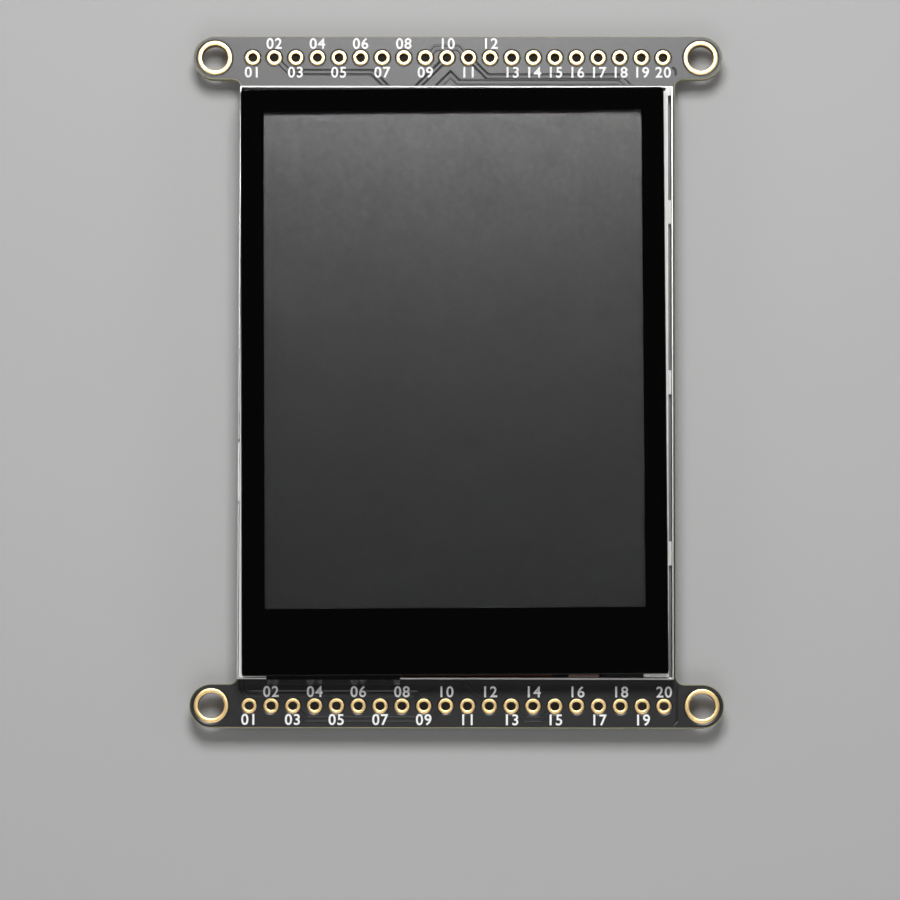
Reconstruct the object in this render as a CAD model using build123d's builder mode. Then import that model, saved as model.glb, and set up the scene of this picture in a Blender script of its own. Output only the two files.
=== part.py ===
from build123d import *
from math import cos, radians, sin
import os

os.makedirs("parts", exist_ok=True)

# Lengths are in millimetres. The origin is the centre of the four mounting holes, on the back face
# of the circuit board. +Z points out of the display, +Y towards the top pin row, +X to the right.

# Display tray, which sets the size of the board below it and of the touch panel above it
tray_width = 50.62
tray_height = 69.4
tray_x = -0.14
tray_y = -0.4
tray_depth = 2.2

# Circuit board: its sides run a little outside the tray, its pin rows lie beyond the tray's ends,
# and a mounting hole lies beyond each end of each row
board_thickness = 1.6
board_side_margin = 0.19
row_margin = 3.4
mount_distance = 4.445
mount_hole_radius = 1.524
mount_ring_radius = 2.0
ear_radius = 2.54
ear_corner_radius = 1.0
pin_count = 20
pin_pitch = 2.54
pin_hole_radius = 0.508
pin_ring_radius = 0.875
pin_sides = 12
plating_height = 0.05

# Foam tape that holds the display on the board
tape_thickness = 0.8
tape_strip_width = 4.5
tape_margin = 1.2
tape_foot_gap = 8.0

# Sheet steel of the tray, its windows and its rim tab
sheet = 0.2
clip_window_length = 3.0
clip_window_height = 0.8
clip_window_count = 3
clip_pitch = 20.0
rim_tab_length = 7.2
rim_tab_y = -11.0
rim_slit_width = 0.4
rim_slit_depth = 0.7

# White plastic frame inside the tray
frame_gap = 0.37
frame_post_gap = 0.05
frame_rim_width = 0.75
frame_ledge_width = 1.1
frame_setback = 0.6
frame_post_length = 2.9
frame_rim_rise = 0.85
cavity_setback = 1.7
clip_depth = 0.25
clip_clearance = 0.1

# Backlight films and light source
film_thickness = 0.1
film_gap = 0.15
guide_thickness = 0.7
led_count = 6
led_length = 3.0
led_depth = 0.6
led_height = 0.6
led_strip_width = 1.6

# Glass cell
glass_thickness = 0.5
glass_gap = 0.1
glass_setback = 0.9
glass_ledge = 2.6
polarizer_inset = 0.6
rear_polarizer_thickness = 0.15
front_polarizer_thickness = 0.2
rim_tape_thickness = 0.25
rim_tape_gap = 0.15
chip_length = 16.0
chip_width = 0.9
chip_height = 0.3

# Touch panel, which is glued on a little askew
lens_side_margin = 0.66
lens_end_margin = 0.5
lens_thickness = 0.7
lens_shift_x = -0.24
lens_shift_y = -0.11
lens_skew = 0.42
lens_corner_radius = 0.4
lens_edge_chamfer = 0.1
border_thickness = 0.05
border_inset = 0.03
border_left = 2.66
border_right = 2.6
border_top = 2.59
border_bottom = 7.75
adhesive_thickness = 0.1
sensor_thickness = 0.55
sensor_inset = 0.6
gasket_thickness = 0.3
gasket_width = 1.2
gasket_window_margin = 0.3

# Flat cables of the glass cell and of the touch panel
flex_pitch = 0.5
flex_thickness = 0.12
flex_bend_radius = 0.5
flex_wall_gap = 0.09
flex_bond_length = 0.8
flex_clearance = 0.3
lcd_flex_shift = 2.515
lcd_positions = 34
touch_flex_shift = 14.89
touch_positions = 6
flex_tray_gap = 0.34
board_slot_y = -30.5
board_slot_width = 2.0
stiffener_thickness = 0.2
stiffener_length = 4.0

# Black tape over the left part of the display's bottom edge
edge_tape_thickness = 0.1
edge_tape_start = 3.45
edge_tape_gap = 0.15
edge_tape_overlap = 0.6
edge_tape_foot = 0.5

# Flip-lock connectors for the flat cables, on the back of the board
connector_height = 2.0
connector_depth = 4.8
connector_wall = 1.2
connector_base = 0.45
connector_slot_height = 0.5
connector_slot_depth = 3.2
connector_side_gap = 0.2
latch_bay_depth = 2.5
latch_thickness = 0.9
latch_pivot_depth = 1.9
latch_front_gap = 0.1
latch_side_gap = 0.1
latch_floor_gap = 0.1
latch_pin_radius = 0.3
latch_pin_length = 0.55
latch_pin_clearance = 0.06
latch_lip = 0.3
contact_width = 0.2
contact_thickness = 0.15
contact_foot = 0.6
lcd_mouth_y = -28.0
touch_mouth_y = -21.5
solder_tab_length = 1.6
solder_tab_width = 0.6

# Memory card socket on the back of the board
card_mouth_inset = 0.2
card_socket_y = 13.5
card_socket_length = 14.0
card_socket_width = 14.2
card_socket_height = 1.85
card_width = 11.2
card_base_thickness = 0.5
card_wall_gap = 0.1
card_contact_count = 8
card_contact_pitch = 1.1
card_contact_width = 0.5
card_contact_reach = 7.5
card_contact_rise = 0.45
card_contact_foot = 0.7
card_window_length = 3.2
card_window_width = 1.0
card_tab_length = 1.4
card_tab_reach = 0.5

# Chips and small parts on the back of the board: centre, body and lead sizes
lead_thickness = 0.12
lead_foot = 0.55
lead_shoulder = 0.2
chip_standoff = 0.1
buffer_place = (3.0, 9.0)
buffer_body = (4.4, 6.5, 1.0)
shifter_place = (3.0, -6.0)
shifter_body = (4.4, 5.0, 1.0)
fine_lead_pitch = 0.65
fine_lead_width = 0.24
regulator_place = (-16.0, -12.0)
regulator_body = (1.6, 2.9, 1.1)
transistor_place = (-15.0, -23.5)
transistor_body = (1.3, 2.9, 1.0)
small_lead_pitch = 0.95
small_lead_width = 0.4
controller_place = (14.0, -6.5)
controller_side = 5.0
controller_height = 0.8
controller_pad_count = 4
controller_pad_pitch = 0.95
controller_pad_width = 0.3
controller_pad_length = 0.5
controller_pad_height = 0.05
controller_pad_reach = 0.08
capacitor_size = (2.0, 1.25, 0.9)
resistor_size = (1.6, 0.8, 0.45)
termination_length = 0.35
termination_lip = 0.04
capacitor_places = [
    (-21.0, -12.0), (-11.5, -12.0), (3.0, 14.8), (3.0, -1.2), (14.0, -1.8), (-7.0, -17.5),
]
resistor_places = [
    (-15.0, -27.5), (-11.0, -23.5), (10.5, 9.0), (10.5, 11.0), (20.5, -6.5), (20.5, -8.5),
]
jumper_place = (16.0, 24.0)
jumper_count = 4
jumper_pitch = 2.54
jumper_size = (1.3, 1.6)
jumper_gap = 0.3

# Heights of the layers, from the board's back up
board_top = board_thickness
tray_low = board_top + tape_thickness
tray_floor = tray_low + sheet
tray_rim = tray_low + tray_depth
guide_low = tray_floor + film_thickness
diffuser_low = guide_low + guide_thickness
prism_lower_low = diffuser_low + film_thickness
prism_upper_low = prism_lower_low + film_thickness
frame_top = prism_upper_low + film_thickness
glass_low = frame_top + rim_tape_thickness
glass_top = glass_low + glass_thickness
filter_top = glass_top + glass_thickness
polarizer_top = filter_top + front_polarizer_thickness
sensor_low = polarizer_top + gasket_thickness
sensor_top = sensor_low + sensor_thickness
border_low = sensor_top + adhesive_thickness
lens_low = border_low + border_thickness

# Sizes and centres that follow the tray and the pin rows
board_width = tray_width + 2 * board_side_margin
mount_spacing_x = (pin_count - 1) * pin_pitch + 2 * mount_distance
mount_spacing_y = tray_height + 2 * row_margin
lens_width = tray_width - 2 * lens_side_margin
lens_height = tray_height - 2 * lens_end_margin
lens_x = tray_x + lens_shift_x
lens_y = tray_y + lens_shift_y
lcd_flex_x = tray_x + lcd_flex_shift
touch_flex_x = tray_x + touch_flex_shift

# Outlines seen from the front: left, right, bottom and top edge
tray_outline = (
    tray_x - tray_width / 2, tray_x + tray_width / 2, tray_y - tray_height / 2, tray_y + tray_height / 2,
)


def inset(outline, margin):
    """The outline with each edge moved inwards by the margin."""
    left, right, bottom, top = outline
    return left + margin, right - margin, bottom + margin, top - margin


def draw(outline, corner=0.0, mode=Mode.ADD):
    """A rectangle in the current sketch, from its four edges."""
    left, right, bottom, top = outline
    with Locations(((left + right) / 2, (bottom + top) / 2)):
        if corner:
            RectangleRounded(right - left, top - bottom, corner, mode=mode)
        else:
            Rectangle(right - left, top - bottom, mode=mode)


def plate(outline, low, thickness):
    """A flat sheet with the given outline, from its low face up."""
    with BuildPart() as sheet_piece:
        with BuildSketch(Plane.XY.offset(low)):
            draw(outline)
        extrude(amount=thickness)
    return sheet_piece


def finish(piece, name):
    """Names the piece and writes it."""
    piece.part.label = name
    export_step(piece.part, f"parts/{name}.step")


tray_inside = inset(tray_outline, sheet)
inner_left, inner_right, inner_bottom, inner_top = tray_inside
frame_outline = (
    inner_left + frame_gap, inner_right - frame_gap, inner_bottom + frame_post_gap, inner_top - frame_gap,
)
frame_left, frame_right, frame_bottom, frame_upper = frame_outline
glass_outline = (
    frame_left + frame_rim_width + glass_gap,
    frame_right - frame_rim_width - glass_gap,
    inner_bottom + glass_setback,
    frame_upper - frame_rim_width - glass_gap,
)
glass_left, glass_right, glass_bottom, glass_upper = glass_outline
filter_outline = (glass_left, glass_right, glass_bottom + glass_ledge, glass_upper)
cavity_outline = (
    glass_left + frame_ledge_width,
    glass_right - frame_ledge_width,
    inner_bottom + cavity_setback,
    glass_upper - frame_ledge_width,
)
cavity_left, cavity_right, cavity_bottom, cavity_top = cavity_outline
guide_outline = (
    cavity_left + film_gap,
    cavity_right - film_gap,
    cavity_bottom + led_strip_width + film_gap,
    cavity_top - film_gap,
)
lcd_flex_width = (lcd_positions + 1) * flex_pitch
touch_flex_width = (touch_positions + 1) * flex_pitch
cable_left = lcd_flex_x - lcd_flex_width / 2
cable_right = touch_flex_x + touch_flex_width / 2

# Circuit board: a straight panel with two bars across it, whose round ends are the four ears.
row_y = mount_spacing_y / 2
mount_points = GridLocations(mount_spacing_x, mount_spacing_y, 2, 2)
pin_columns = [(i - (pin_count - 1) / 2) * pin_pitch for i in range(pin_count)]
with BuildPart() as circuit_board:
    with BuildSketch() as board_outline:
        Rectangle(board_width, mount_spacing_y + 2 * ear_radius)
        with Locations((0, row_y), (0, -row_y)):
            SlotCenterToCenter(mount_spacing_x, 2 * ear_radius)
        inner_corners = [
            v for v in board_outline.vertices()
            if abs(abs(v.X) - board_width / 2) < 0.01 and abs(abs(v.Y) - row_y + ear_radius) < 0.01
        ]
        ear_wall = (mount_spacing_x - board_width) / 2
        fillet(inner_corners, min(ear_corner_radius, 0.9 * ear_wall))
        with mount_points:
            Circle(mount_ring_radius, mode=Mode.SUBTRACT)
        for row in (row_y, -row_y):
            with Locations(*[(x, row) for x in pin_columns]):
                RegularPolygon(pin_ring_radius, pin_sides, mode=Mode.SUBTRACT)
        slot_length = cable_right - cable_left + 2 * flex_clearance
        with Locations(((cable_left + cable_right) / 2, board_slot_y)):
            SlotOverall(slot_length + board_slot_width, board_slot_width, mode=Mode.SUBTRACT)
    extrude(amount=board_thickness)
finish(circuit_board, "circuit_board")


# Plated sleeves through the board, each standing a little proud of both faces. The forty sleeves of
# the pin rows are drawn with flat sides, the hole's sides lying just outside the drilled radius.
for row, name in ((row_y, "header_pads_top_row"), (-row_y, "header_pads_bottom_row")):
    with BuildPart() as header_pads:
        with BuildSketch(Plane.XY.offset(-plating_height)):
            with Locations(*[(x, row) for x in pin_columns]):
                RegularPolygon(pin_ring_radius, pin_sides)
                RegularPolygon(pin_hole_radius, pin_sides, major_radius=False, mode=Mode.SUBTRACT)
        extrude(amount=board_thickness + 2 * plating_height)
    finish(header_pads, name)
with BuildPart() as mount_hole_plating:
    with BuildSketch(Plane.XY.offset(-plating_height)):
        with mount_points:
            Circle(mount_ring_radius)
            Circle(mount_hole_radius, mode=Mode.SUBTRACT)
    extrude(amount=board_thickness + 2 * plating_height)
finish(mount_hole_plating, "mount_hole_plating")

# Foam tape: one strip up each side of the tray and one across its top.
tape_outline = inset(tray_outline, tape_margin)
tape_left, tape_right, tape_bottom, tape_top = tape_outline
with BuildPart() as mounting_tape:
    with BuildSketch(Plane.XY.offset(board_top)):
        side_bottom = tape_bottom + tape_foot_gap
        side_top = tape_top - tape_strip_width - tape_margin
        draw((tape_left, tape_left + tape_strip_width, side_bottom, side_top))
        draw((tape_right - tape_strip_width, tape_right, side_bottom, side_top))
        draw((tape_left, tape_right, tape_top - tape_strip_width, tape_top))
    extrude(amount=tape_thickness)
finish(mounting_tape, "mounting_tape")

# Steel tray, drawn from one sheet, with windows in its side walls for the frame's clips, slits that
# free a tab of the left rim, and a slot in its floor that lets the flat cables out.
clip_spots = [(i - (clip_window_count - 1) / 2) * clip_pitch + tray_y for i in range(clip_window_count)]
clip_middle = (tray_floor + frame_top) / 2
with BuildPart() as backlight_tray:
    with BuildSketch(Plane.XY.offset(tray_low)):
        draw(tray_outline)
    extrude(amount=tray_depth)
    with BuildSketch(Plane.XY.offset(tray_floor)):
        draw(tray_inside)
    extrude(amount=tray_depth, mode=Mode.SUBTRACT)
    with BuildSketch(Plane.XY.offset(tray_low)):
        draw((
            cable_left - flex_clearance, cable_right + flex_clearance,
            inner_bottom, inner_bottom + frame_setback,
        ))
    extrude(amount=sheet, mode=Mode.SUBTRACT)
    with BuildSketch(Plane.YZ.offset(tray_outline[0])):
        with Locations(*[(y, clip_middle) for y in clip_spots]):
            Rectangle(clip_window_length, clip_window_height)
    extrude(amount=tray_width, mode=Mode.SUBTRACT)
    with BuildSketch(Plane.YZ.offset(tray_outline[0])):
        for slit_y in (rim_tab_y - rim_tab_length / 2, rim_tab_y + rim_tab_length / 2):
            with Locations((slit_y, tray_rim - rim_slit_depth / 2)):
                Rectangle(rim_slit_width, rim_slit_depth)
    extrude(amount=sheet, mode=Mode.SUBTRACT)
finish(backlight_tray, "backlight_tray")

# White frame: a low ring that carries the glass, a rim up the sides and top, a foot in each bottom
# corner, and clips that reach into the tray's windows.
with BuildPart() as backlight_frame:
    with BuildSketch(Plane.XY.offset(tray_floor)):
        draw(frame_outline)
        draw(cavity_outline, mode=Mode.SUBTRACT)
        draw((
            frame_left + frame_post_length, frame_right - frame_post_length,
            frame_bottom, inner_bottom + frame_setback,
        ), mode=Mode.SUBTRACT)
    extrude(amount=frame_top - tray_floor)
    with BuildSketch(Plane.XY.offset(frame_top)):
        draw(frame_outline)
        draw((
            glass_left - glass_gap, glass_right + glass_gap,
            frame_bottom, glass_upper + glass_gap,
        ), mode=Mode.SUBTRACT)
        foot_top = glass_bottom - glass_gap
        draw((frame_left, frame_left + frame_post_length, frame_bottom, foot_top))
        draw((frame_right - frame_post_length, frame_right, frame_bottom, foot_top))
    extrude(amount=frame_rim_rise)
    clip_reach = frame_gap + clip_depth
    clip_size = clip_window_length - 2 * clip_clearance
    with BuildSketch(Plane.YZ.offset(frame_left - clip_reach + sheet / 2)):
        with Locations(*[(y, clip_middle) for y in clip_spots]):
            Rectangle(clip_size, clip_window_height - 2 * clip_clearance)
    extrude(amount=clip_reach - sheet / 2)
    with BuildSketch(Plane.YZ.offset(frame_right)):
        with Locations(*[(y, clip_middle) for y in clip_spots]):
            Rectangle(clip_size, clip_window_height - 2 * clip_clearance)
    extrude(amount=clip_reach - sheet / 2)
finish(backlight_frame, "backlight_frame")

# Backlight: reflector, light guide with a notch for each light source, diffuser and two prism films.
led_pitch = (guide_outline[1] - guide_outline[0]) / led_count
led_spots = [(i - (led_count - 1) / 2) * led_pitch + tray_x for i in range(led_count)]
led_bottom = cavity_bottom + led_strip_width - led_depth
finish(plate(inset(cavity_outline, film_gap), tray_floor, film_thickness), "reflector_film")
with BuildPart() as light_guide:
    with BuildSketch(Plane.XY.offset(guide_low)):
        draw(guide_outline)
        with Locations(*[(x, guide_outline[2]) for x in led_spots]):
            Rectangle(led_length + 2 * film_gap, 2 * film_gap, mode=Mode.SUBTRACT)
    extrude(amount=guide_thickness)
finish(light_guide, "light_guide")
film_outline = inset(guide_outline, film_gap)
finish(plate(film_outline, diffuser_low, film_thickness), "diffuser_film")
finish(plate(film_outline, prism_lower_low, film_thickness), "prism_film_lower")
finish(plate(film_outline, prism_upper_low, film_thickness), "prism_film_upper")
led_strip_outline = (
    cavity_left + film_gap, cavity_right - film_gap,
    cavity_bottom + film_gap, cavity_bottom + led_strip_width,
)
finish(plate(led_strip_outline, guide_low, film_thickness), "led_strip")
with BuildPart() as backlight_leds:
    with BuildSketch(Plane.XY.offset(guide_low + film_thickness)):
        with Locations(*[(x, led_bottom + led_depth / 2) for x in led_spots]):
            Rectangle(led_length, led_depth)
    extrude(amount=led_height)
finish(backlight_leds, "backlight_leds")

# Glass cell: rear polarizer inside a ring of tape, two sheets of glass, front polarizer, and the
# driver chip on the bare ledge of the lower glass.
polarizer_outline = inset(filter_outline, polarizer_inset)
with BuildPart() as rim_tape:
    with BuildSketch(Plane.XY.offset(frame_top)):
        draw(glass_outline)
        draw(inset(polarizer_outline, -rim_tape_gap), mode=Mode.SUBTRACT)
    extrude(amount=rim_tape_thickness)
finish(rim_tape, "rim_tape")
finish(
    plate(polarizer_outline, glass_low - rear_polarizer_thickness, rear_polarizer_thickness),
    "rear_polarizer",
)
finish(plate(glass_outline, glass_low, glass_thickness), "tft_glass")
finish(plate(filter_outline, glass_top, glass_thickness), "colour_filter_glass")
finish(plate(polarizer_outline, filter_top, front_polarizer_thickness), "front_polarizer")
chip_y = glass_bottom + (glass_ledge + flex_bond_length) / 2
driver_outline = (
    lcd_flex_x - chip_length / 2, lcd_flex_x + chip_length / 2, chip_y - chip_width / 2, chip_y + chip_width / 2,
)
finish(plate(driver_outline, glass_top, chip_height), "driver_chip")


def touch_level(z):
    """The touch panel's own plane at a height: centred on the lens and turned by its skew."""
    skew = radians(lens_skew)
    return Plane(origin=(lens_x, lens_y, z), x_dir=(cos(skew), sin(skew), 0), z_dir=(0, 0, 1))


lens_outline = (-lens_width / 2, lens_width / 2, -lens_height / 2, lens_height / 2)
window_outline = (
    lens_outline[0] + border_left, lens_outline[1] - border_right,
    lens_outline[2] + border_bottom, lens_outline[3] - border_top,
)
sensor_outline = inset(lens_outline, sensor_inset)
gasket_window = inset(window_outline, -gasket_window_margin)

# Touch panel: foam gasket, sensor glass, clear adhesive that fills the step of the printed border,
# the black border itself, and the cover lens with its edge eased.
with BuildPart() as touch_gasket:
    with BuildSketch(touch_level(polarizer_top)):
        draw(inset(gasket_window, -gasket_width))
        draw(gasket_window, mode=Mode.SUBTRACT)
    extrude(amount=gasket_thickness)
finish(touch_gasket, "touch_gasket")
with BuildPart() as sensor_glass:
    with BuildSketch(touch_level(sensor_low)):
        draw(sensor_outline)
    extrude(amount=sensor_thickness)
finish(sensor_glass, "sensor_glass")
with BuildPart() as optical_adhesive:
    with BuildSketch(touch_level(sensor_top)):
        draw(sensor_outline)
    extrude(amount=adhesive_thickness)
    with BuildSketch(touch_level(border_low)):
        draw(window_outline)
    extrude(amount=border_thickness)
finish(optical_adhesive, "optical_adhesive")
with BuildPart() as lens_border:
    with BuildSketch(touch_level(border_low)):
        draw(inset(lens_outline, border_inset))
        draw(window_outline, mode=Mode.SUBTRACT)
    extrude(amount=border_thickness)
finish(lens_border, "lens_border")
with BuildPart() as cover_lens:
    with BuildSketch(touch_level(lens_low)):
        draw(lens_outline, lens_corner_radius)
    extrude(amount=lens_thickness)
    chamfer(cover_lens.faces().sort_by(Axis.Z)[-1].edges(), lens_edge_chamfer)
finish(cover_lens, "cover_lens")

# Flat cables: each leaves its glass towards the bottom edge, folds down inside the tray's wall, runs
# back between tray and board, dips through the board's slot and enters its connector.
flex_run_y = inner_bottom + flex_wall_gap + flex_thickness / 2
flex_under_z = tray_low - flex_tray_gap - flex_thickness / 2
flex_plug_z = -connector_base - (connector_slot_height - stiffener_thickness) / 2


def flat_cable(x, width, bond_y, bond_z, end_y):
    """A flat cable swept along its folded route, from its bond to its plugged end."""
    with BuildPart() as cable:
        with BuildLine(Plane.YZ.offset(x)) as route:
            FilletPolyline(
                (bond_y, bond_z),
                (flex_run_y, bond_z),
                (flex_run_y, flex_under_z),
                (board_slot_y, flex_under_z),
                (board_slot_y, flex_plug_z),
                (end_y, flex_plug_z),
                radius=flex_bend_radius,
            )
        with BuildSketch(Plane(origin=route.line @ 0, x_dir=(1, 0, 0), z_dir=route.line % 0)):
            Rectangle(width, flex_thickness)
        sweep()
    return cable


def stiffener(x, width, end_y):
    """The stiff backing on the plugged end of a flat cable."""
    outline = (x - width / 2, x + width / 2, end_y - stiffener_length, end_y)
    low = flex_plug_z - flex_thickness / 2 - stiffener_thickness
    return plate(outline, low, stiffener_thickness)


plug_depth = connector_slot_depth - flex_clearance / 2
lcd_end_y = lcd_mouth_y + plug_depth
touch_end_y = touch_mouth_y + plug_depth
lcd_bond_y = glass_bottom + flex_bond_length
touch_bond_y = lens_y + sensor_outline[2] + flex_bond_length
finish(
    flat_cable(lcd_flex_x, lcd_flex_width, lcd_bond_y, glass_top + flex_thickness / 2, lcd_end_y),
    "lcd_flex",
)
finish(stiffener(lcd_flex_x, lcd_flex_width, lcd_end_y), "lcd_flex_stiffener")
finish(
    flat_cable(touch_flex_x, touch_flex_width, touch_bond_y, sensor_low - flex_thickness / 2, touch_end_y),
    "touch_flex",
)
finish(stiffener(touch_flex_x, touch_flex_width, touch_end_y), "touch_flex_stiffener")

# Black tape: from over the tray's bottom rim it slopes down and out to the board.
tape_outer_y = tray_outline[2]
edge_tape_left = tray_outline[0] + edge_tape_start
edge_tape_right = cable_left - edge_tape_gap
with BuildPart() as edge_tape:
    with BuildSketch(Plane.YZ.offset(edge_tape_left)):
        with BuildLine():
            Polyline(
                (inner_bottom + edge_tape_overlap, tray_rim),
                (tape_outer_y, tray_rim),
                (tape_outer_y - edge_tape_foot, board_top),
                (tape_outer_y - edge_tape_foot - edge_tape_thickness, board_top),
                (tape_outer_y - edge_tape_thickness, tray_rim + edge_tape_thickness),
                (inner_bottom + edge_tape_overlap, tray_rim + edge_tape_thickness),
                close=True,
            )
        make_face()
    extrude(amount=edge_tape_right - edge_tape_left)
finish(edge_tape, "edge_tape")

# Flip-lock connectors. The latch turns about pins at its rear and locks the cable while it lies shut.
latch_low = -(connector_base + connector_slot_height) - latch_floor_gap / 2 - latch_thickness
pivot_z = latch_low + latch_thickness / 2
pin_hole = latch_pin_radius + latch_pin_clearance


def connector_housing(x, width, mouth_y):
    """Moulded housing: cable slot under a bay that is open to the front and below, for the latch."""
    bay = width + 2 * connector_side_gap
    with BuildPart() as housing:
        with BuildSketch(Plane.XY.offset(-connector_height)):
            half = bay / 2 + connector_wall
            draw((x - half, x + half, mouth_y, mouth_y + connector_depth))
        extrude(amount=connector_height)
        slot_low = -(connector_base + connector_slot_height)
        with BuildSketch(Plane.YZ.offset(x)):
            draw((mouth_y, mouth_y + connector_slot_depth, slot_low, -connector_base))
            draw((mouth_y, mouth_y + latch_bay_depth, -connector_height, slot_low))
        extrude(amount=bay / 2, both=True, mode=Mode.SUBTRACT)
        with BuildSketch(Plane.YZ.offset(x)):
            with Locations((mouth_y + latch_pivot_depth, pivot_z)):
                Circle(pin_hole)
        pin_reach = bay / 2 + latch_pin_length + latch_side_gap
        extrude(amount=pin_reach, both=True, mode=Mode.SUBTRACT)
    return housing


def connector_latch(x, width, mouth_y):
    """Latch bar with a round rear, an eased front lip and a pin at each end."""
    half_bar = width / 2 + connector_side_gap - latch_side_gap
    pivot_y = mouth_y + latch_pivot_depth
    front_y = mouth_y + latch_front_gap
    with BuildPart() as latch:
        with BuildSketch(Plane.YZ.offset(x)):
            draw((front_y, pivot_y, latch_low, latch_low + latch_thickness))
            with Locations((pivot_y, pivot_z)):
                Circle(latch_thickness / 2)
        extrude(amount=half_bar, both=True)
        lip_edges = latch.faces().sort_by(Axis.Y)[0].edges().filter_by(Axis.X)
        chamfer(lip_edges.sort_by(Axis.Z)[0], latch_lip)
        with BuildSketch(Plane.YZ.offset(x)):
            with Locations((pivot_y, pivot_z)):
                Circle(latch_pin_radius)
        extrude(amount=half_bar + latch_pin_length, both=True)
    return latch


def connector_contacts(x, positions, mouth_y, width):
    """A row of solder contacts behind the housing, and a solder tab at each end of it."""
    rear_y = mouth_y + connector_depth
    with BuildPart() as contacts:
        with BuildSketch(Plane.XY):
            with Locations((x, rear_y + contact_foot / 2)):
                with GridLocations(flex_pitch, contact_foot, positions, 1):
                    Rectangle(contact_width, contact_foot)
        extrude(amount=-contact_thickness)
        end = width / 2 + connector_side_gap + connector_wall
        with BuildSketch(Plane.XY):
            for left in (x - end - solder_tab_width, x + end):
                draw((left, left + solder_tab_width, rear_y - solder_tab_length, rear_y))
        extrude(amount=-contact_thickness)
    return contacts


finish(connector_housing(lcd_flex_x, lcd_flex_width, lcd_mouth_y), "lcd_connector_housing")
finish(connector_latch(lcd_flex_x, lcd_flex_width, lcd_mouth_y), "lcd_connector_latch")
finish(
    connector_contacts(lcd_flex_x, lcd_positions, lcd_mouth_y, lcd_flex_width),
    "lcd_connector_contacts",
)
finish(connector_housing(touch_flex_x, touch_flex_width, touch_mouth_y), "touch_connector_housing")
finish(connector_latch(touch_flex_x, touch_flex_width, touch_mouth_y), "touch_connector_latch")
finish(
    connector_contacts(touch_flex_x, touch_positions, touch_mouth_y, touch_flex_width),
    "touch_connector_contacts",
)

# Memory card socket: a sheet metal cover over a plastic base, its mouth at the board's left edge.
mouth_x = -board_width / 2 + card_mouth_inset
rear_x = mouth_x + card_socket_length
cover_outline = (
    mouth_x, rear_x, card_socket_y - card_socket_width / 2, card_socket_y + card_socket_width / 2,
)
with BuildPart() as card_socket_cover:
    with BuildSketch(Plane.XY.offset(-card_socket_height)):
        draw(cover_outline)
    extrude(amount=card_socket_height)
    with BuildSketch(Plane.YZ.offset(mouth_x)):
        draw((
            cover_outline[2] + sheet, cover_outline[3] - sheet,
            -card_socket_height + sheet, 0,
        ))
    extrude(amount=card_socket_length, mode=Mode.SUBTRACT)
    with BuildSketch(Plane.XY.offset(-card_socket_height)):
        for spot_y in (card_socket_y - card_width / 4, card_socket_y + card_width / 4):
            with Locations((rear_x - card_window_length, spot_y)):
                Rectangle(card_window_length, card_window_width)
    extrude(amount=sheet, mode=Mode.SUBTRACT)
    with BuildSketch(Plane.XY):
        for spot_x in (mouth_x + card_tab_length, rear_x - card_tab_length):
            for spot_y in (cover_outline[2] - card_tab_reach / 2, cover_outline[3] + card_tab_reach / 2):
                with Locations((spot_x, spot_y)):
                    Rectangle(card_tab_length, card_tab_reach)
    extrude(amount=-sheet)
finish(card_socket_cover, "card_socket_cover")
base_outline = (
    mouth_x + card_wall_gap, rear_x - card_wall_gap,
    cover_outline[2] + sheet + card_wall_gap, cover_outline[3] - sheet - card_wall_gap,
)
with BuildPart() as card_socket_base:
    with BuildSketch(Plane.XY.offset(-card_base_thickness)):
        draw(base_outline)
    extrude(amount=card_base_thickness)
    rail_depth = card_socket_height - sheet - card_wall_gap
    with BuildSketch(Plane.XY.offset(-rail_depth)):
        draw((base_outline[0], base_outline[1], base_outline[2], card_socket_y - card_width / 2))
        draw((base_outline[0], base_outline[1], card_socket_y + card_width / 2, base_outline[3]))
    extrude(amount=rail_depth)
finish(card_socket_base, "card_socket_base")
spring_root = rear_x - card_wall_gap
with BuildPart() as card_socket_contacts:
    for i in range(card_contact_count):
        side_y = card_socket_y + (i - (card_contact_count - 1) / 2) * card_contact_pitch
        with BuildSketch(Plane.XZ.offset(-side_y - card_contact_width / 2)):
            with BuildLine():
                Polyline(
                    (spring_root - card_contact_reach, -card_base_thickness - card_contact_rise),
                    (spring_root - card_contact_reach / 2, -card_base_thickness),
                    (spring_root, -card_base_thickness),
                    (spring_root, 0),
                    (spring_root + card_contact_foot, 0),
                    (spring_root + card_contact_foot, -contact_thickness),
                    (spring_root + contact_thickness, -contact_thickness),
                    (spring_root + contact_thickness, -card_base_thickness - contact_thickness),
                    (spring_root - card_contact_reach / 2, -card_base_thickness - contact_thickness),
                    (
                        spring_root - card_contact_reach,
                        -card_base_thickness - card_contact_rise - contact_thickness,
                    ),
                    close=True,
                )
            make_face()
        extrude(amount=card_contact_width)
finish(card_socket_contacts, "card_socket_contacts")


def chip_body(place, body):
    """A moulded chip body on the back of the board, standing off it by its leads' height."""
    x, y = place
    size_x, size_y, height = body
    outline = (x - size_x / 2, x + size_x / 2, y - size_y / 2, y + size_y / 2)
    return plate(outline, -height, height - chip_standoff)


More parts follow.
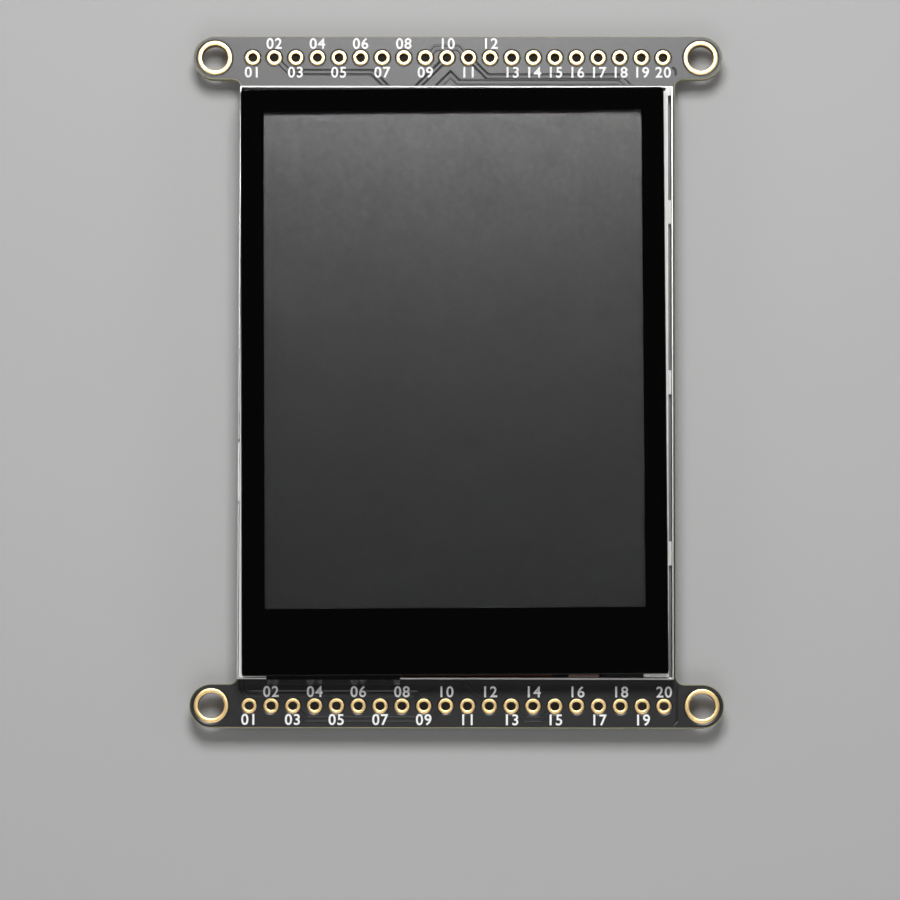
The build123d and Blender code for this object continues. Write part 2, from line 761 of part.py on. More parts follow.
def chip_leads(place, body, pitch, width, right_rows, left_rows):
    """Gull-wing leads on the chip's two long sides, at the given steps of the pitch."""
    x, y = place
    size_x, _, height = body
    rise = -(height + chip_standoff) / 2
    with BuildPart() as leads:
        for side, rows in ((1, right_rows), (-1, left_rows)):
            root = x + side * size_x / 2
            for step in rows:
                with BuildSketch(Plane.XZ.offset(-y - step * pitch - width / 2)):
                    with BuildLine():
                        Polyline(
                            (root, rise),
                            (root + side * (lead_shoulder - lead_thickness), rise),
                            (root + side * (lead_shoulder - lead_thickness), 0),
                            (root + side * (lead_shoulder + lead_foot), 0),
                            (root + side * (lead_shoulder + lead_foot), -lead_thickness),
                            (root + side * lead_shoulder, -lead_thickness),
                            (root + side * lead_shoulder, rise - lead_thickness),
                            (root, rise - lead_thickness),
                            close=True,
                        )
                    make_face()
                extrude(amount=width)
    return leads


def centred_steps(count):
    """Steps of one pitch, centred on nought."""
    return [i - (count - 1) / 2 for i in range(count)]


finish(chip_body(buffer_place, buffer_body), "bus_buffer_body")
finish(
    chip_leads(
        buffer_place, buffer_body, fine_lead_pitch, fine_lead_width, centred_steps(10), centred_steps(10)
    ),
    "bus_buffer_leads",
)
finish(chip_body(shifter_place, shifter_body), "level_shifter_body")
finish(
    chip_leads(
        shifter_place, shifter_body, fine_lead_pitch, fine_lead_width, centred_steps(7), centred_steps(7)
    ),
    "level_shifter_leads",
)
finish(chip_body(regulator_place, regulator_body), "regulator_body")
finish(
    chip_leads(regulator_place, regulator_body, small_lead_pitch, small_lead_width, [-1, 0, 1], [-1, 1]),
    "regulator_leads",
)
finish(chip_body(transistor_place, transistor_body), "backlight_transistor_body")
finish(
    chip_leads(transistor_place, transistor_body, small_lead_pitch, small_lead_width, [0], [-1, 1]),
    "backlight_transistor_leads",
)

# Touch controller: a leadless square chip on a ring of flat pads.
controller_x, controller_y = controller_place
controller_outline = (
    controller_x - controller_side / 2, controller_x + controller_side / 2,
    controller_y - controller_side / 2, controller_y + controller_side / 2,
)
finish(
    plate(controller_outline, -controller_height, controller_height - controller_pad_height),
    "touch_controller_body",
)
pad_centre = (controller_side - controller_pad_length) / 2 + controller_pad_reach
with BuildPart() as touch_controller_pads:
    with BuildSketch(Plane.XY):
        for step in centred_steps(controller_pad_count):
            along = step * controller_pad_pitch
            with Locations((controller_x - pad_centre, controller_y + along)):
                Rectangle(controller_pad_length, controller_pad_width)
            with Locations((controller_x + pad_centre, controller_y + along)):
                Rectangle(controller_pad_length, controller_pad_width)
            with Locations((controller_x + along, controller_y - pad_centre)):
                Rectangle(controller_pad_width, controller_pad_length)
            with Locations((controller_x + along, controller_y + pad_centre)):
                Rectangle(controller_pad_width, controller_pad_length)
    extrude(amount=-controller_pad_height)
finish(touch_controller_pads, "touch_controller_pads")


def passive_bodies(places, size):
    """The bodies of small two-ended parts, between their metal ends."""
    length, width, height = size
    with BuildPart() as bodies:
        with BuildSketch(Plane.XY.offset(-termination_lip)):
            with Locations(*places):
                Rectangle(length - 2 * termination_length, width)
        extrude(amount=-(height - 2 * termination_lip))
    return bodies


def passive_ends(places, size):
    """The metal ends of small two-ended parts, soldered flat on the board."""
    length, width, height = size
    reach = (length - termination_length) / 2
    spots = [(x + side * reach, y) for x, y in places for side in (1, -1)]
    with BuildPart() as ends:
        with BuildSketch(Plane.XY):
            with Locations(*spots):
                Rectangle(termination_length, width + 2 * termination_lip)
        extrude(amount=-height)
    return ends


finish(passive_bodies(capacitor_places, capacitor_size), "capacitor_bodies")
finish(passive_ends(capacitor_places, capacitor_size), "capacitor_terminations")
finish(passive_bodies(resistor_places, resistor_size), "resistor_bodies")
finish(passive_ends(resistor_places, resistor_size), "resistor_terminations")

# Solder jumpers: pairs of bare pads that choose how the display is driven.
jumper_x, jumper_y = jumper_place
jumper_reach = (jumper_size[0] + jumper_gap) / 2
with BuildPart() as jumper_pads:
    with BuildSketch(Plane.XY):
        for step in centred_steps(jumper_count):
            for side in (-jumper_reach, jumper_reach):
                with Locations((jumper_x + side, jumper_y + step * jumper_pitch)):
                    Rectangle(*jumper_size)
    extrude(amount=-plating_height)
finish(jumper_pads, "jumper_pads")
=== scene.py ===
"""Dresses the small colour display on its circuit board and sets up a plain studio for it.

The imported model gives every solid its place. Here the board gets its glass fibre core, its black mask
with the copper that shows under it, the gold sleeves, the white print, the chip bodies and the solder,
and each piece gets its finish. Pieces are modelled in millimetres and brought to metres when they are
placed.
"""

import math

import bmesh
import bpy
from bpy.props import FloatProperty, FloatVectorProperty, IntProperty, PointerProperty
from mathutils import Matrix, Vector


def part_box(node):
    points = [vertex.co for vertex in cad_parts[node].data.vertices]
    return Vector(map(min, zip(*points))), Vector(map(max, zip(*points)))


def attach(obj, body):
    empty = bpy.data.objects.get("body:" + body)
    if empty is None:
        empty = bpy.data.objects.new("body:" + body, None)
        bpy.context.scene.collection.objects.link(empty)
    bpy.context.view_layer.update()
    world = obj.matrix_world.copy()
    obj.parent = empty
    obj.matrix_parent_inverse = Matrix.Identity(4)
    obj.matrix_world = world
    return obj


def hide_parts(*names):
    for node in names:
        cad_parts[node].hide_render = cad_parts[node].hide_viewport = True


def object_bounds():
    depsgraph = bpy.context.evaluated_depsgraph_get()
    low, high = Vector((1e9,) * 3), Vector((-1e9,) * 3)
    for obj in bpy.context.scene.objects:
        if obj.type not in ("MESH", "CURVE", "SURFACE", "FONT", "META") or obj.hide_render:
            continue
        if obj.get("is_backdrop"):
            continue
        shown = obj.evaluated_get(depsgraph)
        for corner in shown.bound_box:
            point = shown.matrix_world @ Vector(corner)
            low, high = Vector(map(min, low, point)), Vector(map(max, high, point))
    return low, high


bl_info = {
    "name": "Colour display",
    "version": (1, 0, 0),
    "blender": (4, 5, 0),
    "location": "3D View > Sidebar > Display",
    "description": "Models the board, print and solder of a small colour display and finishes it",
    "category": "Object",
}

MM = 0.001

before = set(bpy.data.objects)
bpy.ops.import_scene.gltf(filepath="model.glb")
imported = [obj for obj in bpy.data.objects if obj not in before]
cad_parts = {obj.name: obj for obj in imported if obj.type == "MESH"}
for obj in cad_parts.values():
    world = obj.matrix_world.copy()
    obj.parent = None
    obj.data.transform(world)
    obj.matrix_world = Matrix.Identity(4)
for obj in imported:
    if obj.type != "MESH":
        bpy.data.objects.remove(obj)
ROOT = "board"


def box_mm(node):
    """Lowest and highest corner of a solid of the frame, in millimetres."""
    low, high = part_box(node)
    return low / MM, high / MM


BOARD_LOW, BOARD_HIGH = box_mm("circuit_board")
ROW_LOW, ROW_HIGH = box_mm("header_pads_top_row")
MOUNT_LOW, MOUNT_HIGH = box_mm("mount_hole_plating")
TRAY_LOW, TRAY_HIGH = box_mm("backlight_tray")
ROW_Y = (ROW_LOW.y + ROW_HIGH.y) / 2


# Sizes and colours that a user would change


class DisplayBoardSizes(bpy.types.PropertyGroup):
    """Sizes of the board's core, mask and copper, in millimetres."""

    mask_thickness: FloatProperty(
        name="Mask thickness", description="Copper and mask together, over the core", default=0.05
    )
    channel_floor: FloatProperty(
        name="Channel floor", description="Mask over the core where there is no copper", default=0.01
    )
    bare_rim: FloatProperty(
        name="Bare rim", description="Glass fibre left bare along the board's edge", default=0.1
    )
    copper_slope: FloatProperty(
        name="Copper slope", description="Width of the slope of mask beside copper", default=0.13
    )
    trace_width: FloatProperty(
        name="Trace width", description="Width of a copper trace", default=0.24
    )
    channel_width: FloatProperty(
        name="Channel width", description="Gap between a trace and the copper beside it", default=0.28
    )
    body_width: FloatProperty(
        name="Board width", description="Width of the board between its ears", default=51.0
    )
    ear_radius: FloatProperty(
        name="Ear radius", description="Radius of the four round ears", default=2.54
    )
    ear_corner: FloatProperty(
        name="Ear corner", description="Inner radius where an ear meets the board", default=1.0
    )


class DisplaySleeveSizes(bpy.types.PropertyGroup):
    """Sizes of the plated sleeves, in millimetres."""

    pin_count: IntProperty(name="Pins", description="Pin holes in a row", default=20, min=2)
    pin_hole: FloatProperty(
        name="Pin hole radius", description="Bore of a pin sleeve", default=0.508
    )
    mount_hole: FloatProperty(
        name="Mounting hole radius", description="Bore of a mounting sleeve", default=1.524
    )
    wall: FloatProperty(name="Wall", description="Plating inside a hole", default=0.035)
    edge_round: FloatProperty(
        name="Edge rounding", description="Rounding of a ring's edges", default=0.035
    )
    clearance: FloatProperty(
        name="Clearance", description="Gap between a ring and the copper round it", default=0.19
    )


class DisplayPrintSizes(bpy.types.PropertyGroup):
    """Sizes of the printed numbers and marks, in millimetres."""

    figure_height: FloatProperty(
        name="Figure height", description="Height of a printed figure", default=1.35
    )
    figure_weight: FloatProperty(
        name="Figure weight", description="How far each stroke is thickened", default=0.03
    )
    ink_height: FloatProperty(
        name="Ink height", description="Thickness of the printed ink", default=0.012
    )
    line_width: FloatProperty(
        name="Line width", description="Width of a printed line", default=0.15
    )


class DisplayColours(bpy.types.PropertyGroup):
    """Colours of the main finishes."""

    mask: FloatVectorProperty(
        name="Mask", description="Black solder mask", subtype="COLOR", default=(0.010, 0.010, 0.011)
    )
    core: FloatVectorProperty(
        name="Core", description="Bare glass fibre", subtype="COLOR", default=(0.33, 0.31, 0.18)
    )
    gold: FloatVectorProperty(
        name="Gold", description="Gold flash on the sleeves", subtype="COLOR", default=(0.95, 0.68, 0.32)
    )
    ink: FloatVectorProperty(
        name="Print", description="White printed ink", subtype="COLOR", default=(0.86, 0.86, 0.85)
    )
    border: FloatVectorProperty(
        name="Border", description="Black ink behind the lens", subtype="COLOR",
        default=(0.0015, 0.0015, 0.0016),
    )
    film: FloatVectorProperty(
        name="Screen", description="Matte outer film of the glass cell", subtype="COLOR",
        default=(0.002, 0.002, 0.0022),
    )


class DisplayStudio(bpy.types.PropertyGroup):
    """Light and floor of the studio."""

    key: FloatProperty(
        name="Key light", description="Soft light beyond the top edge", default=1.3, unit="POWER"
    )
    fill: FloatProperty(
        name="Fill light", description="Soft light from left and right", default=0.5, unit="POWER"
    )
    front: FloatProperty(
        name="Front light", description="Soft light beyond the bottom edge", default=0.65, unit="POWER"
    )
    sky: FloatProperty(name="Sky", description="Brightness of the room near the horizon", default=0.25)
    zenith: FloatProperty(name="Overhead", description="Brightness of the room overhead", default=0.02)
    floor: FloatVectorProperty(
        name="Floor", description="Colour of the floor", subtype="COLOR", default=(0.40, 0.40, 0.40)
    )


# Modelling helpers


def select_only(*pieces):
    """Selects these objects and nothing else, the last one active."""
    bpy.ops.object.select_all(action="DESELECT")
    for piece in pieces:
        piece.select_set(True)
    bpy.context.view_layer.objects.active = pieces[-1]


def clean(piece, nearest=1e-5):
    """Merges the doubles of a mesh and turns its faces outwards."""
    select_only(piece)
    bpy.ops.object.mode_set(mode="EDIT")
    bpy.ops.mesh.select_all(action="SELECT")
    bpy.ops.mesh.remove_doubles(threshold=nearest)
    bpy.ops.mesh.normals_make_consistent(inside=False)
    bpy.ops.object.mode_set(mode="OBJECT")


def outwards(piece):
    """Turns a closed mesh the right way round after a mirror has left it inside out."""
    select_only(piece)
    bpy.ops.object.mode_set(mode="EDIT")
    bpy.ops.mesh.select_all(action="SELECT")
    if bmesh.from_edit_mesh(piece.data).calc_volume(signed=True) < 0:
        bpy.ops.mesh.flip_normals()
    bpy.ops.object.mode_set(mode="OBJECT")


def plate(name, low, high, *outlines):
    """A flat sheet between two heights: the first outline is its edge and the others are holes."""
    curve = bpy.data.curves.new(name, "CURVE")
    curve.dimensions = "2D"
    curve.fill_mode = "BOTH"
    curve.extrude = (high - low) / 2
    for outline in outlines:
        spline = curve.splines.new("POLY")
        spline.points.add(len(outline) - 1)
        for point, place in zip(spline.points, outline):
            point.co = (place[0], place[1], 0, 1)
        spline.use_cyclic_u = True
    piece = bpy.data.objects.new(name, curve)
    bpy.context.scene.collection.objects.link(piece)
    piece.location.z = (low + high) / 2
    select_only(piece)
    bpy.ops.object.convert(target="MESH")
    piece = bpy.context.object
    bpy.ops.object.transform_apply(location=True, rotation=True, scale=True)
    clean(piece)
    return piece


def join(name, pieces):
    """Makes several meshes one."""
    select_only(*pieces)
    if len(pieces) > 1:
        bpy.ops.object.join()
    piece = bpy.context.object
    piece.name = piece.data.name = name
    bpy.ops.object.transform_apply(location=True, rotation=True, scale=True)
    return piece


def copies(name, model, places, sizes=()):
    """One mesh made of a copy of the model at each place. The model itself is used up."""
    made = []
    for i, place in enumerate(places):
        copy = model.copy()
        copy.data = model.data.copy()
        copy.location = place
        if sizes:
            copy.scale = sizes[i]
        bpy.context.scene.collection.objects.link(copy)
        made.append(copy)
    bpy.data.objects.remove(model)
    return join(name, made)


def cut(piece, cutter):
    """Takes the cutter out of the piece, and uses it up."""
    kept = len(piece.data.polygons)
    join(piece.name, [cutter, piece])
    bpy.ops.object.mode_set(mode="EDIT")
    bpy.ops.mesh.select_mode(type="FACE")
    bpy.ops.mesh.select_all(action="DESELECT")
    shape = bmesh.from_edit_mesh(piece.data)
    for face in shape.faces:
        face.select = face.index >= kept
    bmesh.update_edit_mesh(piece.data)
    bpy.ops.mesh.intersect_boolean(operation="DIFFERENCE", use_self=True, solver="EXACT")
    bpy.ops.object.mode_set(mode="OBJECT")


def edit_edges(piece, wanted):
    """Enters edit mode with the edges for which wanted is true selected."""
    select_only(piece)
    bpy.ops.object.mode_set(mode="EDIT")
    bpy.ops.mesh.select_mode(type="EDGE")
    bpy.ops.mesh.select_all(action="DESELECT")
    shape = bmesh.from_edit_mesh(piece.data)
    for edge in shape.edges:
        edge.select = wanted(edge)
    bmesh.update_edit_mesh(piece.data)


def bevel(piece, wanted, width, segments=3):
    """Eases the edges for which wanted is true."""
    edit_edges(piece, wanted)
    bpy.ops.mesh.bevel(offset=width, segments=segments, affect="EDGES", clamp_overlap=False)
    bpy.ops.object.mode_set(mode="OBJECT")


def sharp(edge, angle=math.radians(35)):
    """True for an edge whose two faces meet at more than the angle."""
    return len(edge.link_faces) == 2 and edge.calc_face_angle() > angle


def place(piece, material, slot, body=ROOT, smooth=30, replaced=()):
    """Brings a finished piece to metres, gives it its finish and its body, and hides the solids it
    replaces.
    """
    select_only(piece)
    piece.scale = (MM, MM, MM)
    bpy.ops.object.transform_apply(location=True, rotation=True, scale=True)
    bpy.ops.object.shade_smooth_by_angle(angle=math.radians(smooth))
    piece.data.materials.clear()
    piece.data.materials.append(material)
    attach(piece, body)
    if replaced:
        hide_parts(*replaced)
    return piece


def ease_solid(node, width):
    """Eases the edges of a solid of the frame with live modifiers, which leave its mesh alone."""
    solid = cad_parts[node]
    weld = solid.modifiers.new("Merge", "WELD")
    weld.merge_threshold = 0.001 * MM
    rounding = solid.modifiers.new("Eased edges", "BEVEL")
    rounding.width = width * MM
    rounding.segments = 2
    rounding.limit_method = "ANGLE"
    rounding.angle_limit = math.radians(50)
    rounding.harden_normals = False


# Outlines


def arc(centre, radius, start, end, steps):
    """Points along an arc, its angles in degrees, both ends included."""
    angles = [math.radians(start + (end - start) * i / steps) for i in range(steps + 1)]
    return [(centre[0] + radius * math.cos(a), centre[1] + radius * math.sin(a)) for a in angles]


def circle(centre, radius, steps=48):
    """A closed round outline."""
    return arc(centre, radius, 0, 360 - 360 / steps, steps - 1)


def band(points, width, aside=0.0):
    """Outline of a band along straight runs, moved sideways from them."""
    points = [Vector(p) for p in points]
    runs = [(b - a).normalized() for a, b in zip(points, points[1:])]
    normals = [Vector((-run.y, run.x)) for run in runs]
    left, right = [], []
    for i, point in enumerate(points):
        before = normals[max(i - 1, 0)]
        after = normals[min(i, len(normals) - 1)]
        normal = (before + after).normalized()
        stretch = 1 / normal.dot(after)
        left.append(point + normal * (aside + width / 2) * stretch)
        right.append(point + normal * (aside - width / 2) * stretch)
    return left + right[::-1]


def rectangle(left, right, bottom, top):
    """A closed outline with four corners."""
    return [(left, bottom), (right, bottom), (right, top), (left, top)]


def board_outline(sizes, margin=0.0):
    """The board's edge, moved inwards by the margin: straight sides, concave corners and round ears."""
    half = sizes.body_width / 2
    radius = sizes.ear_radius
    corner = sizes.ear_corner
    ear_x = BOARD_HIGH.x - radius
    ear_y = BOARD_HIGH.y - radius
    inner_y = ear_y - radius
    quarter = []
    quarter += arc((half + corner, inner_y - corner), corner + margin, 180, 90, 12)
    quarter += arc((ear_x, ear_y), radius - margin, -90, 90, 48)
    upper = quarter + [(-x, y) for x, y in reversed(quarter)]
    return upper + [(-x, -y) for x, y in upper]


def pin_columns():
    """The x of each pin hole."""
    count = bpy.context.scene.display_sleeves.pin_count
    first = ROW_LOW.x + pin_ring()
    last = ROW_HIGH.x - pin_ring()
    return [first + (last - first) * i / (count - 1) for i in range(count)]


def pin_places():
    """The centre of every pin hole, the top row first."""
    return [(x, y) for y in (ROW_Y, -ROW_Y) for x in pin_columns()]


def mount_places():
    """The centre of every mounting hole."""
    radius = mount_ring()
    x = MOUNT_HIGH.x - radius
    y = MOUNT_HIGH.y - radius
    return [(sx * x, sy * y) for sx in (1, -1) for sy in (1, -1)]


def pin_ring():
    """Outer radius of a pin sleeve's ring."""
    return (ROW_HIGH.y - ROW_LOW.y) / 2


def mount_ring():
    """Outer radius of a mounting sleeve's ring."""
    return (MOUNT_HIGH.x - BOARD_HIGH.x) + bpy.context.scene.display_board.ear_radius


# Copper under the mask: each path runs along straight pieces from a pin, in millimetres


def pin_x(number):
    """The x of the pin with this number, counted from 1 at the left."""
    return pin_columns()[number - 1]


def front_traces():
    """Paths of the copper traces on the face, between the pin rows and the display.

    A slanted run goes as far across as it does up or down, so the height of a lane over or under its
    pin row is also how far the run to it reaches along the row.
    """
    tuck = 0.3
    under_top = TRAY_HIGH.y - tuck
    under_bottom = TRAY_LOW.y + tuck
    top_drop, middle_drop, low_drop = 1.70, 2.22, 2.89
    top_lane = ROW_Y - top_drop
    middle_lane = ROW_Y - middle_drop
    low_lane = ROW_Y - low_drop
    bottom_drop, edge_rise, link_rise = 1.56, 1.41, 1.2
    bottom_lane = -ROW_Y - bottom_drop
    edge_lane = -ROW_Y + edge_rise
    left_lane = -24.9
    lane_end = 0.9
    top_end, low_end, middle_end = -10.1, 18.9, 19.12
    foot, peak, peak_rise = -3.0, -0.85, 2.15
    return [
        [
            (pin_x(2), ROW_Y), (pin_x(2) + top_drop, top_lane), (top_end, top_lane),
            (top_end + top_lane - under_top, under_top),
        ],
        [(pin_x(10), ROW_Y), (pin_x(10) - ROW_Y + under_top, under_top)],
        [
            (foot, under_top), (peak, under_top + peak_rise),
            (peak + under_top + peak_rise - low_lane, low_lane),
            (low_end, low_lane), (low_end + low_lane - under_top, under_top),
        ],
        [
            (pin_x(11), ROW_Y), (pin_x(11) + middle_drop, middle_lane), (middle_end, middle_lane),
            (middle_end + middle_lane - under_top, under_top),
        ],
        [
            (pin_x(11), ROW_Y), (pin_x(11) - link_rise, ROW_Y + link_rise),
            (pin_x(9) + link_rise, ROW_Y + link_rise), (pin_x(9), ROW_Y),
        ],
        [
            (pin_x(3), -ROW_Y), (pin_x(3) + bottom_drop, bottom_lane),
            (pin_x(10) - bottom_drop, bottom_lane), (pin_x(10), -ROW_Y),
        ],
        [
            (pin_x(13), -ROW_Y), (pin_x(13) + bottom_drop, bottom_lane),
            (pin_x(15) - bottom_drop, bottom_lane), (pin_x(15), -ROW_Y),
        ],
        [
            (left_lane, under_bottom), (left_lane, edge_lane + lane_end),
            *arc((left_lane + lane_end, edge_lane + lane_end), lane_end, 195, 255, 4),
            (left_lane + lane_end, edge_lane), (pin_x(9) - 1.0, edge_lane), (pin_x(9), -ROW_Y),
        ],
        [(pin_x(5), -ROW_Y), (pin_x(5) - edge_rise, edge_lane)],
        [(pin_x(12), -ROW_Y), (pin_x(12) - ROW_Y - under_bottom, under_bottom)],
    ]


def front_grooves():
    """Paths of single gaps in the copper of the face: the borders of the pours at the right ears."""
    x = 25.62
    return [
        [(x, -ROW_Y + 2.45), (x, -ROW_Y - 1.75), (x - 0.5, -ROW_Y - 2.2)],
        [(x, ROW_Y - 2.1), (x, ROW_Y - 1.5), (x - 0.4, ROW_Y - 1.1)],
    ]


# Pins that copper crosses to on four sides: the number of each, and 1 for the top row or -1 for the
# bottom row

GROUND_PINS = ((1, 1), (12, 1), (1, -1), (11, -1))


def back_traces():
    """Paths of the copper traces on the back, between the pin rows and the chips."""
    turn = 0.6
    lane_pitch, lead_pitch = 0.75, 0.65
    inset, card_inset = 0.25, 0.3
    paths = []
    buffer_low, buffer_high = box_mm("bus_buffer_leads")
    middle = (buffer_low.y + buffer_high.y) / 2
    foot = buffer_low.x + inset
    buffer_lane, buffer_level = -1.2, 29.4
    for step in range(8):
        y = middle + (3.5 - step) * lead_pitch
        lane = buffer_lane - step * lane_pitch
        level = buffer_level + step * lane_pitch
        pin = pin_x(20 - step)
        paths.append([
            (foot, y), (lane + turn, y), (lane, y + turn), (lane, level - turn), (lane + turn, level),
            (pin - turn, level), (pin, level + turn), (pin, ROW_Y),
        ])
    shifter_low, shifter_high = box_mm("level_shifter_leads")
    middle = (shifter_low.y + shifter_high.y) / 2
    foot = shifter_low.x + inset
    shifter_lane = -8.2
    for step in range(3):
        y = middle + (step - 3) * lead_pitch
        lane = shifter_lane - step * lane_pitch
        pin = pin_x(8 - step)
        slant = abs(pin - lane)
        paths.append([
            (foot, y), (lane + turn, y), (lane, y - turn), (lane, -ROW_Y + slant), (pin, -ROW_Y),
        ])
    card_low, card_high = box_mm("card_socket_contacts")
    card_foot = card_high.x - card_inset
    card_lane, pin_lane, shifter_end = -9.9, -9.6, 12.5
    contact_pitch = 1.1
    for step in range(3):
        y = middle + (step + 1) * lead_pitch
        lane = card_lane + step * lane_pitch
        contact = card_low.y + inset + step * contact_pitch
        paths.append([
            (foot, y), (lane + turn, y), (lane, y + turn), (lane, contact - turn),
            (lane - turn, contact), (card_foot, contact),
        ])
        lane = pin_lane + step * lane_pitch
        contact = card_high.y - inset - step * contact_pitch
        pin = pin_x(6 + step)
        slant = abs(pin - lane)
        paths.append([
            (card_foot, contact), (lane - turn, contact), (lane, contact + turn), (lane, ROW_Y - slant),
            (pin, ROW_Y),
        ])
        y = middle + (step - 1) * lead_pitch
        paths.append([(shifter_high.x - inset, y), (shifter_end, y)])
    touch_low, touch_high = box_mm("touch_controller_pads")
    touch_lane, touch_end = 13.25, -16.5
    for step in range(4):
        x = touch_lane + step * lane_pitch
        paths.append([(x, touch_low.y + 0.4), (x, touch_end)])
    touch_foot = touch_high.x - 0.3
    short_runs = [
        [(touch_foot, -6.5), (19.8, -6.5)],
        [(touch_foot, -7.0), (17.8, -7.0), (19.3, -8.5), (19.8, -8.5)],
        [(-20.3, -12.0), (-17.2, -12.0)],
        [(-14.8, -11.05), (-13.2, -11.05), (-12.4, -11.85)],
        [(-13.9, -23.5), (-11.6, -23.5)],
    ]
    return paths + short_runs


# Small covered holes of the back, in columns: the x of a column and the y of its holes

BACK_VIAS = {
    -23.5: (-4.0, -18.0),
    -20.0: (-27.0, -18.0, 0.0, 25.0, 30.0),
    -15.0: (0.0, 25.0, 30.0),
    2.4: (-20.0, -13.0),
    8.2: (-17.0, -12.0, 6.5, 11.5, 20.0),
    10.8: (3.0, 17.0),
    18.5: (3.0,),
    22.0: (-28.0, -22.0, -14.0, 3.0, 12.0, 20.0, 26.5),
}

# Where the back's mask is divided, so that each small hole and short channel has a seam through it

BACK_SEAMS_X = (*BACK_VIAS, -13.6)
BACK_SEAMS_Y = (-13.0, 4.9)


# Node groups that more than one finish shares, and the sockets of a Mix node that mixes colours

MIX_FACTOR, MIX_FIRST, MIX_SECOND, MIX_RESULT = 0, 6, 7, 2


def new_group(name, inputs, outputs):
    """An empty node group with its sockets, and its input and output nodes."""
    group = bpy.data.node_groups.new(name, "ShaderNodeTree")
    for label, kind, value in inputs:
        socket = group.interface.new_socket(label, in_out="INPUT", socket_type=kind)
        socket.default_value = value
    for label, kind in outputs:
        group.interface.new_socket(label, in_out="OUTPUT", socket_type=kind)
    return group, group.nodes.new("NodeGroupInput"), group.nodes.new("NodeGroupOutput")


def feed(tree, value, socket):
    """Links a socket to another, or gives it a plain value."""
    if isinstance(value, bpy.types.NodeSocket):
        tree.links.new(value, socket)
    else:
        socket.default_value = value


def maths(tree, operation, first, second=0.0):
    """A Math node fed by sockets or plain numbers."""
    node = tree.nodes.new("ShaderNodeMath")
    node.operation = operation
    feed(tree, first, node.inputs[0])
    feed(tree, second, node.inputs[1])
    return node.outputs[0]


def ranged(tree, value, low, high):
    """A value from 0 to 1 spread between two sockets or numbers."""
    node = tree.nodes.new("ShaderNodeMapRange")
    feed(tree, value, node.inputs["Value"])
    feed(tree, low, node.inputs["To Min"])
    feed(tree, high, node.inputs["To Max"])
    return node.outputs["Result"]


def mixed(tree, factor, first, second):
    """A colour between two colours, by a factor from 0 to 1."""
    node = tree.nodes.new("ShaderNodeMix")
    node.data_type = "RGBA"
    feed(tree, factor, node.inputs[MIX_FACTOR])
    feed(tree, first, node.inputs[MIX_FIRST])
    feed(tree, second, node.inputs[MIX_SECOND])
    return node.outputs[MIX_RESULT]


def object_place(tree):
    """Where a point is in its object, in metres."""
    return tree.nodes.new("ShaderNodeTexCoord").outputs["Object"]


def object_axes(tree):
    """The three parts of where a point is in its object."""
    parts = tree.nodes.new("ShaderNodeSeparateXYZ")
    tree.links.new(object_place(tree), parts.inputs[0])
    return parts.outputs


def grain_group():
    """Fine even grain: a roughness between two limits and a height."""
    group, given, made = new_group(
        "Fine grain",
        [
            ("Size", "NodeSocketFloat", 0.0002),
            ("Low", "NodeSocketFloat", 0.4),
            ("High", "NodeSocketFloat", 0.5),
        ],
        [("Roughness", "NodeSocketFloat"), ("Height", "NodeSocketFloat")],
    )
    noise = group.nodes.new("ShaderNodeTexNoise")
    noise.inputs["Detail"].default_value = 3
    group.links.new(object_place(group), noise.inputs["Vector"])
    group.links.new(maths(group, "DIVIDE", 1.0, given.outputs["Size"]), noise.inputs["Scale"])
    factor = noise.outputs["Fac"]
    roughness = ranged(group, factor, given.outputs["Low"], given.outputs["High"])
    group.links.new(roughness, made.inputs["Roughness"])
    group.links.new(factor, made.inputs["Height"])
    return group


def drift_group():
    """Slow change of a colour over the surface, with a little fine dust in it."""
    group, given, made = new_group(
        "Tone drift",
        [
            ("Colour", "NodeSocketColor", (0.5, 0.5, 0.5, 1)),
            ("Shade", "NodeSocketColor", (0.4, 0.4, 0.4, 1)),
            ("Size", "NodeSocketFloat", 0.004),
        ],
        [("Colour", "NodeSocketColor")],
    )
    noise = group.nodes.new("ShaderNodeTexNoise")
    noise.inputs["Detail"].default_value = 3
    noise.inputs["Roughness"].default_value = 0.6
    group.links.new(object_place(group), noise.inputs["Vector"])
    group.links.new(maths(group, "DIVIDE", 1.0, given.outputs["Size"]), noise.inputs["Scale"])
    colour = mixed(group, noise.outputs["Fac"], given.outputs["Colour"], given.outputs["Shade"])
    group.links.new(colour, made.inputs["Colour"])
    return group


def brushed_group():
    """Rolling marks of sheet metal, drawn out along one direction."""
    group, given, made = new_group(
        "Rolling marks",
        [
            ("Stretch", "NodeSocketVector", (40.0, 6000.0, 6000.0)),
            ("Low", "NodeSocketFloat", 0.25),
            ("High", "NodeSocketFloat", 0.4),
        ],
        [("Roughness", "NodeSocketFloat"), ("Height", "NodeSocketFloat")],
    )
    stretch = group.nodes.new("ShaderNodeVectorMath")
    stretch.operation = "MULTIPLY"
    group.links.new(object_place(group), stretch.inputs[0])
    group.links.new(given.outputs["Stretch"], stretch.inputs[1])
    noise = group.nodes.new("ShaderNodeTexNoise")
    noise.inputs["Scale"].default_value = 1.0
    noise.inputs["Detail"].default_value = 4
    group.links.new(stretch.outputs[0], noise.inputs["Vector"])
    factor = noise.outputs["Fac"]
    roughness = ranged(group, factor, given.outputs["Low"], given.outputs["High"])
    group.links.new(roughness, made.inputs["Roughness"])
    group.links.new(factor, made.inputs["Height"])
    return group


